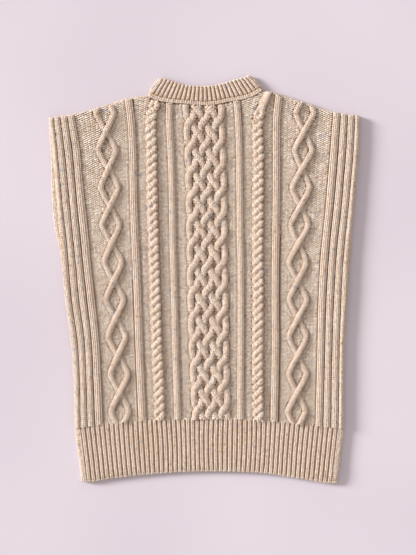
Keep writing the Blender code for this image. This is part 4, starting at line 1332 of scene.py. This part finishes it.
neckband_cloth.data.materials.append(underside_wool)
on_the_underside = neckband_points[faces][:, :, 2].mean(axis=1) < BACK_INNER_Z + SEAM_GAP
neckband_cloth.data.polygons.foreach_set("material_index", on_the_underside.astype(np.int32))
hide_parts("neckband")

NECKBAND_ROWS = 8
NECKBAND_RIB_START = 0.24
NECKBAND_FIRST_ROW = 0.45
NECKBAND_LEG_WIDTH = 0.00165
RIDGE_STITCHES = 50
RIDGE_ROWS = (
    # across  lean
    (0.060, 1.15),
    (0.145, 0.75),
)
RIDGE_LEG = {"width": 0.0021, "height": 0.0020, "length": 0.70}
CAST_OFF_STITCHES = 46
CAST_OFF_ACROSS = 0.965
CAST_OFF_LEG = {"lean": math.pi / 2 - 0.2, "length": 0.62}
FOLD_RIB_ANGLES = (82.0, 34.0)
FOLD_RIB_HALF_ANGLE = 21.0


def band_surface(centre, half):
    """The surface of one column of the neckband: u across it and v from the base outwards."""
    def point(u, v):
        share = centre + u * half
        x, y = band_place(share, v)
        return np.stack([x, y, BACK_INNER_Z + band_thickness(share, v) - SURFACE_SINK], axis=1)
    return point


def fold_surface(turn, middle_angle, half_angle):
    """The surface of a rib on a folded end: u across it and v from the base outwards."""
    def point(u, v):
        angle = np.radians(middle_angle + turn * u * half_angle)
        x, y, rib = fold_place(turn, angle, v)
        height = SEAM_GAP / 2 + rib - SURFACE_SINK
        return np.stack([x, y, BETWEEN_LAYERS_Z + height * np.sin(angle)], axis=1)
    return point


row = (1 - NECKBAND_RIB_START) / NECKBAND_ROWS
rows = NECKBAND_RIB_START + (np.arange(NECKBAND_ROWS) + NECKBAND_FIRST_ROW) * row
laid = []
for index in range(NECKBAND_RIBS):
    centre = 2 * NECKBAND_FOLD_SHARE + (index + 0.5) * NECKBAND_PITCH
    column = band_surface(centre, NECKBAND_PITCH * NECKBAND_RIB_SHARE / 2)
    laid += knit_columns(column, (0.0,), rows, row, width=NECKBAND_LEG_WIDTH)
for turn in (1, -1):
    for angle in FOLD_RIB_ANGLES:
        column = fold_surface(turn, angle, FOLD_RIB_HALF_ANGLE)
        laid += knit_columns(column, (0.0,), rows, row, width=NECKBAND_LEG_WIDTH)
whole_band = band_surface(0.5, 0.5)
ridge_places = np.linspace(-EDGE_REACH, EDGE_REACH, RIDGE_STITCHES)
for across, lean in RIDGE_ROWS:
    laid.append(lay_legs(whole_band, ridge_places, across, row, lean, **RIDGE_LEG))
cast_off_places = np.linspace(-EDGE_REACH, EDGE_REACH, CAST_OFF_STITCHES)
laid.append(lay_legs(whole_band, cast_off_places, CAST_OFF_ACROSS, row, **CAST_OFF_LEG))
neckband_stitches = stitch_mesh("neckband_stitches", laid, rib_wool)


# ---------------------------------------------------------------------------
# The front: the same shape as the back but for its deeper neck, lying face down under it.
# Its own ribs and cables are pressed flat against the table; its armhole edges show.
# ---------------------------------------------------------------------------

FRONT_SIDE_LINES = (
    # y       left     right
    (0.2585, -0.2490, 0.2490),
    (0.2310, -0.2482, 0.2483),
    (0.2070, -0.2465, 0.2475),
    (0.1750, -0.2455, 0.2450),
    (0.1430, -0.2445, 0.2427),
    (0.1190, -0.2435, 0.2407),
    (0.0950, -0.2415, 0.2388),
    (0.0695, -0.2370, 0.2370),
    (0.0470, -0.2320, 0.2358),
    (0.0310, -0.2290, 0.2348),
    (-0.0090, -0.2250, 0.2318),
    (-0.0330, -0.2225, 0.2298),
    (-0.0970, -0.2135, 0.2250),
    (-0.1610, -0.2085, 0.2240),
    (-0.2360, -0.2070, 0.2235),
)
PRESSED_DEPTH = 0.0008
PRESSED_FROM = 0.0035
FRONT_EDGE_SHARE = 0.5
UNDERSIDE_RIM_WIDTH = 0.0030
FRONT_SIDE_COLUMNS = 60
FRONT_SCOOP_COLUMNS = 60
FRONT_ROWS = 130

front_left, front_right = curve(FRONT_SIDE_LINES, 1), curve(FRONT_SIDE_LINES, 2)
side_shares = np.linspace(0.0, 1.0, FRONT_SIDE_COLUMNS)
scoop_angles = np.linspace(0.0, math.pi, FRONT_SCOOP_COLUMNS + 2)[1:-1]
neck_ends = (BACK_NECK[0], BACK_NECK[-1])
scoop = np.array([scoop_point(angle, neck_ends, FRONT_NECK_DROP) for angle in scoop_angles])
side_weight = np.concatenate([1 - side_shares, np.zeros(len(scoop)), side_shares])[:, None]
fixed_x = np.concatenate(
    [np.full(FRONT_SIDE_COLUMNS, NECK_LEFT_X), scoop[:, 0], np.full(FRONT_SIDE_COLUMNS, NECK_RIGHT_X)]
)[:, None]
on_left = fixed_x < 0


def front_x(y):
    """Where each column of the front's mesh runs at its own y."""
    side = np.where(on_left, front_left(y), front_right(y))
    return side * side_weight + fixed_x * (1 - side_weight)


def front_shoulder(x):
    """The shoulder at the top of each column."""
    return np.where(on_left, left_shoulder(x), right_shoulder(x))


def front_top_z(inward):
    """The front's upper face, which rounds off towards the sides."""
    return FRONT_THICKNESS * (FRONT_EDGE_SHARE + (1 - FRONT_EDGE_SHARE) * rounded(inward, SIDE_ROUNDING))


low = crossing(front_x, hem_edge, np.full_like(fixed_x, NEAR_HEM_Y))
high = crossing(front_x, front_shoulder, np.full_like(fixed_x, NEAR_TOP_Y))
high[FRONT_SIDE_COLUMNS : FRONT_SIDE_COLUMNS + len(scoop), 0] = scoop[:, 1]
front_y = low + (high - low) * np.linspace(0.0, 1.0, FRONT_ROWS)[None, :]
front_places = front_x(front_y)
relief = np.maximum(rib_relief(front_places, front_y), cable_relief(front_places, front_y))
pressed_z = PRESSED_DEPTH * (1 - np.clip(relief / PRESSED_FROM, 0.0, 1.0))
from_side = np.minimum(front_places - front_left(front_y), front_right(front_y) - front_places)
from_edge = np.minimum(np.minimum(from_side, high - front_y), front_y - low)
rim_z = UNDERSIDE_RIM_Z * (1 - rounded(from_edge, UNDERSIDE_RIM_WIDTH))
lower = np.stack([front_places, front_y, np.maximum(pressed_z, rim_z)], axis=2)
upper = lower.copy()
upper[:, :, 2] = front_top_z(from_side)
front_cloth = closed_wall("front_cloth", upper, lower, underside_wool, np.ones(front_places.shape))
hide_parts("front_panel")

# The armhole edges, which show beside the back: one column of knit stitches down each.
ARMHOLE_BOTTOM_Y = 0.0200
ARMHOLE_TOP_LEFT_Y, ARMHOLE_TOP_RIGHT_Y = 0.2585, 0.2600
EDGE_BAND_WIDTH = 0.0110


def armhole_surface(side_line, turn):
    """The upper face of the front beside one armhole edge: u across it and y along it."""
    def point(u, y):
        inward = (1 + turn * u) / 2 * EDGE_BAND_WIDTH
        z = front_top_z(inward) - SURFACE_SINK / 2
        return np.stack([side_line(y) + turn * inward, y, z], axis=1)
    return point


laid = []
for side_line, turn, top in ((front_left, 1, ARMHOLE_TOP_LEFT_Y), (front_right, -1, ARMHOLE_TOP_RIGHT_Y)):
    rows = np.arange(ARMHOLE_BOTTOM_Y, top, ROW)
    laid += knit_columns(armhole_surface(side_line, turn), RIB_KNIT_COLUMNS, rows, ROW)
armhole_stitches = stitch_mesh("armhole_edge_stitches", laid, knit_wool)


# ---------------------------------------------------------------------------
# The front's hem: the same 1x1 rib as the back's, knitted on below the front. It lies under
# the back's hem and is pressed flat against the table.
# ---------------------------------------------------------------------------

FRONT_HEM_COLUMNS_A_RIB = 5
FRONT_HEM_ROWS = 16
front_across = np.linspace(0.0, 1.0, HEM_RIBS * FRONT_HEM_COLUMNS_A_RIB)[:, None]
front_down = np.linspace(1.0, 0.0, FRONT_HEM_ROWS)[None, :]
hem_x, hem_y = hem_place(front_across, front_down)
thickness = hem_thickness(front_across, front_down)
pressed_z = PRESSED_DEPTH * (1 - np.clip((thickness - HEM_GROUND) / HEM_RIB_HEIGHT, 0.0, 1.0))
from_side = np.minimum(front_across, 1 - front_across) * HEM_WIDTH
from_end = np.minimum(front_down, 1 - front_down) * HEM_CUT[1]
rim_z = UNDERSIDE_RIM_Z * (1 - rounded(np.minimum(from_side, from_end), UNDERSIDE_RIM_WIDTH))
lower = np.stack([hem_x, hem_y, np.maximum(pressed_z, rim_z)], axis=2)
upper = lower.copy()
upper[:, :, 2] = FRONT_THICKNESS
front_hem_cloth = closed_wall("front_hem_cloth", upper, lower, underside_wool, np.ones(hem_x.shape))
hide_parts("front_hem_rib")
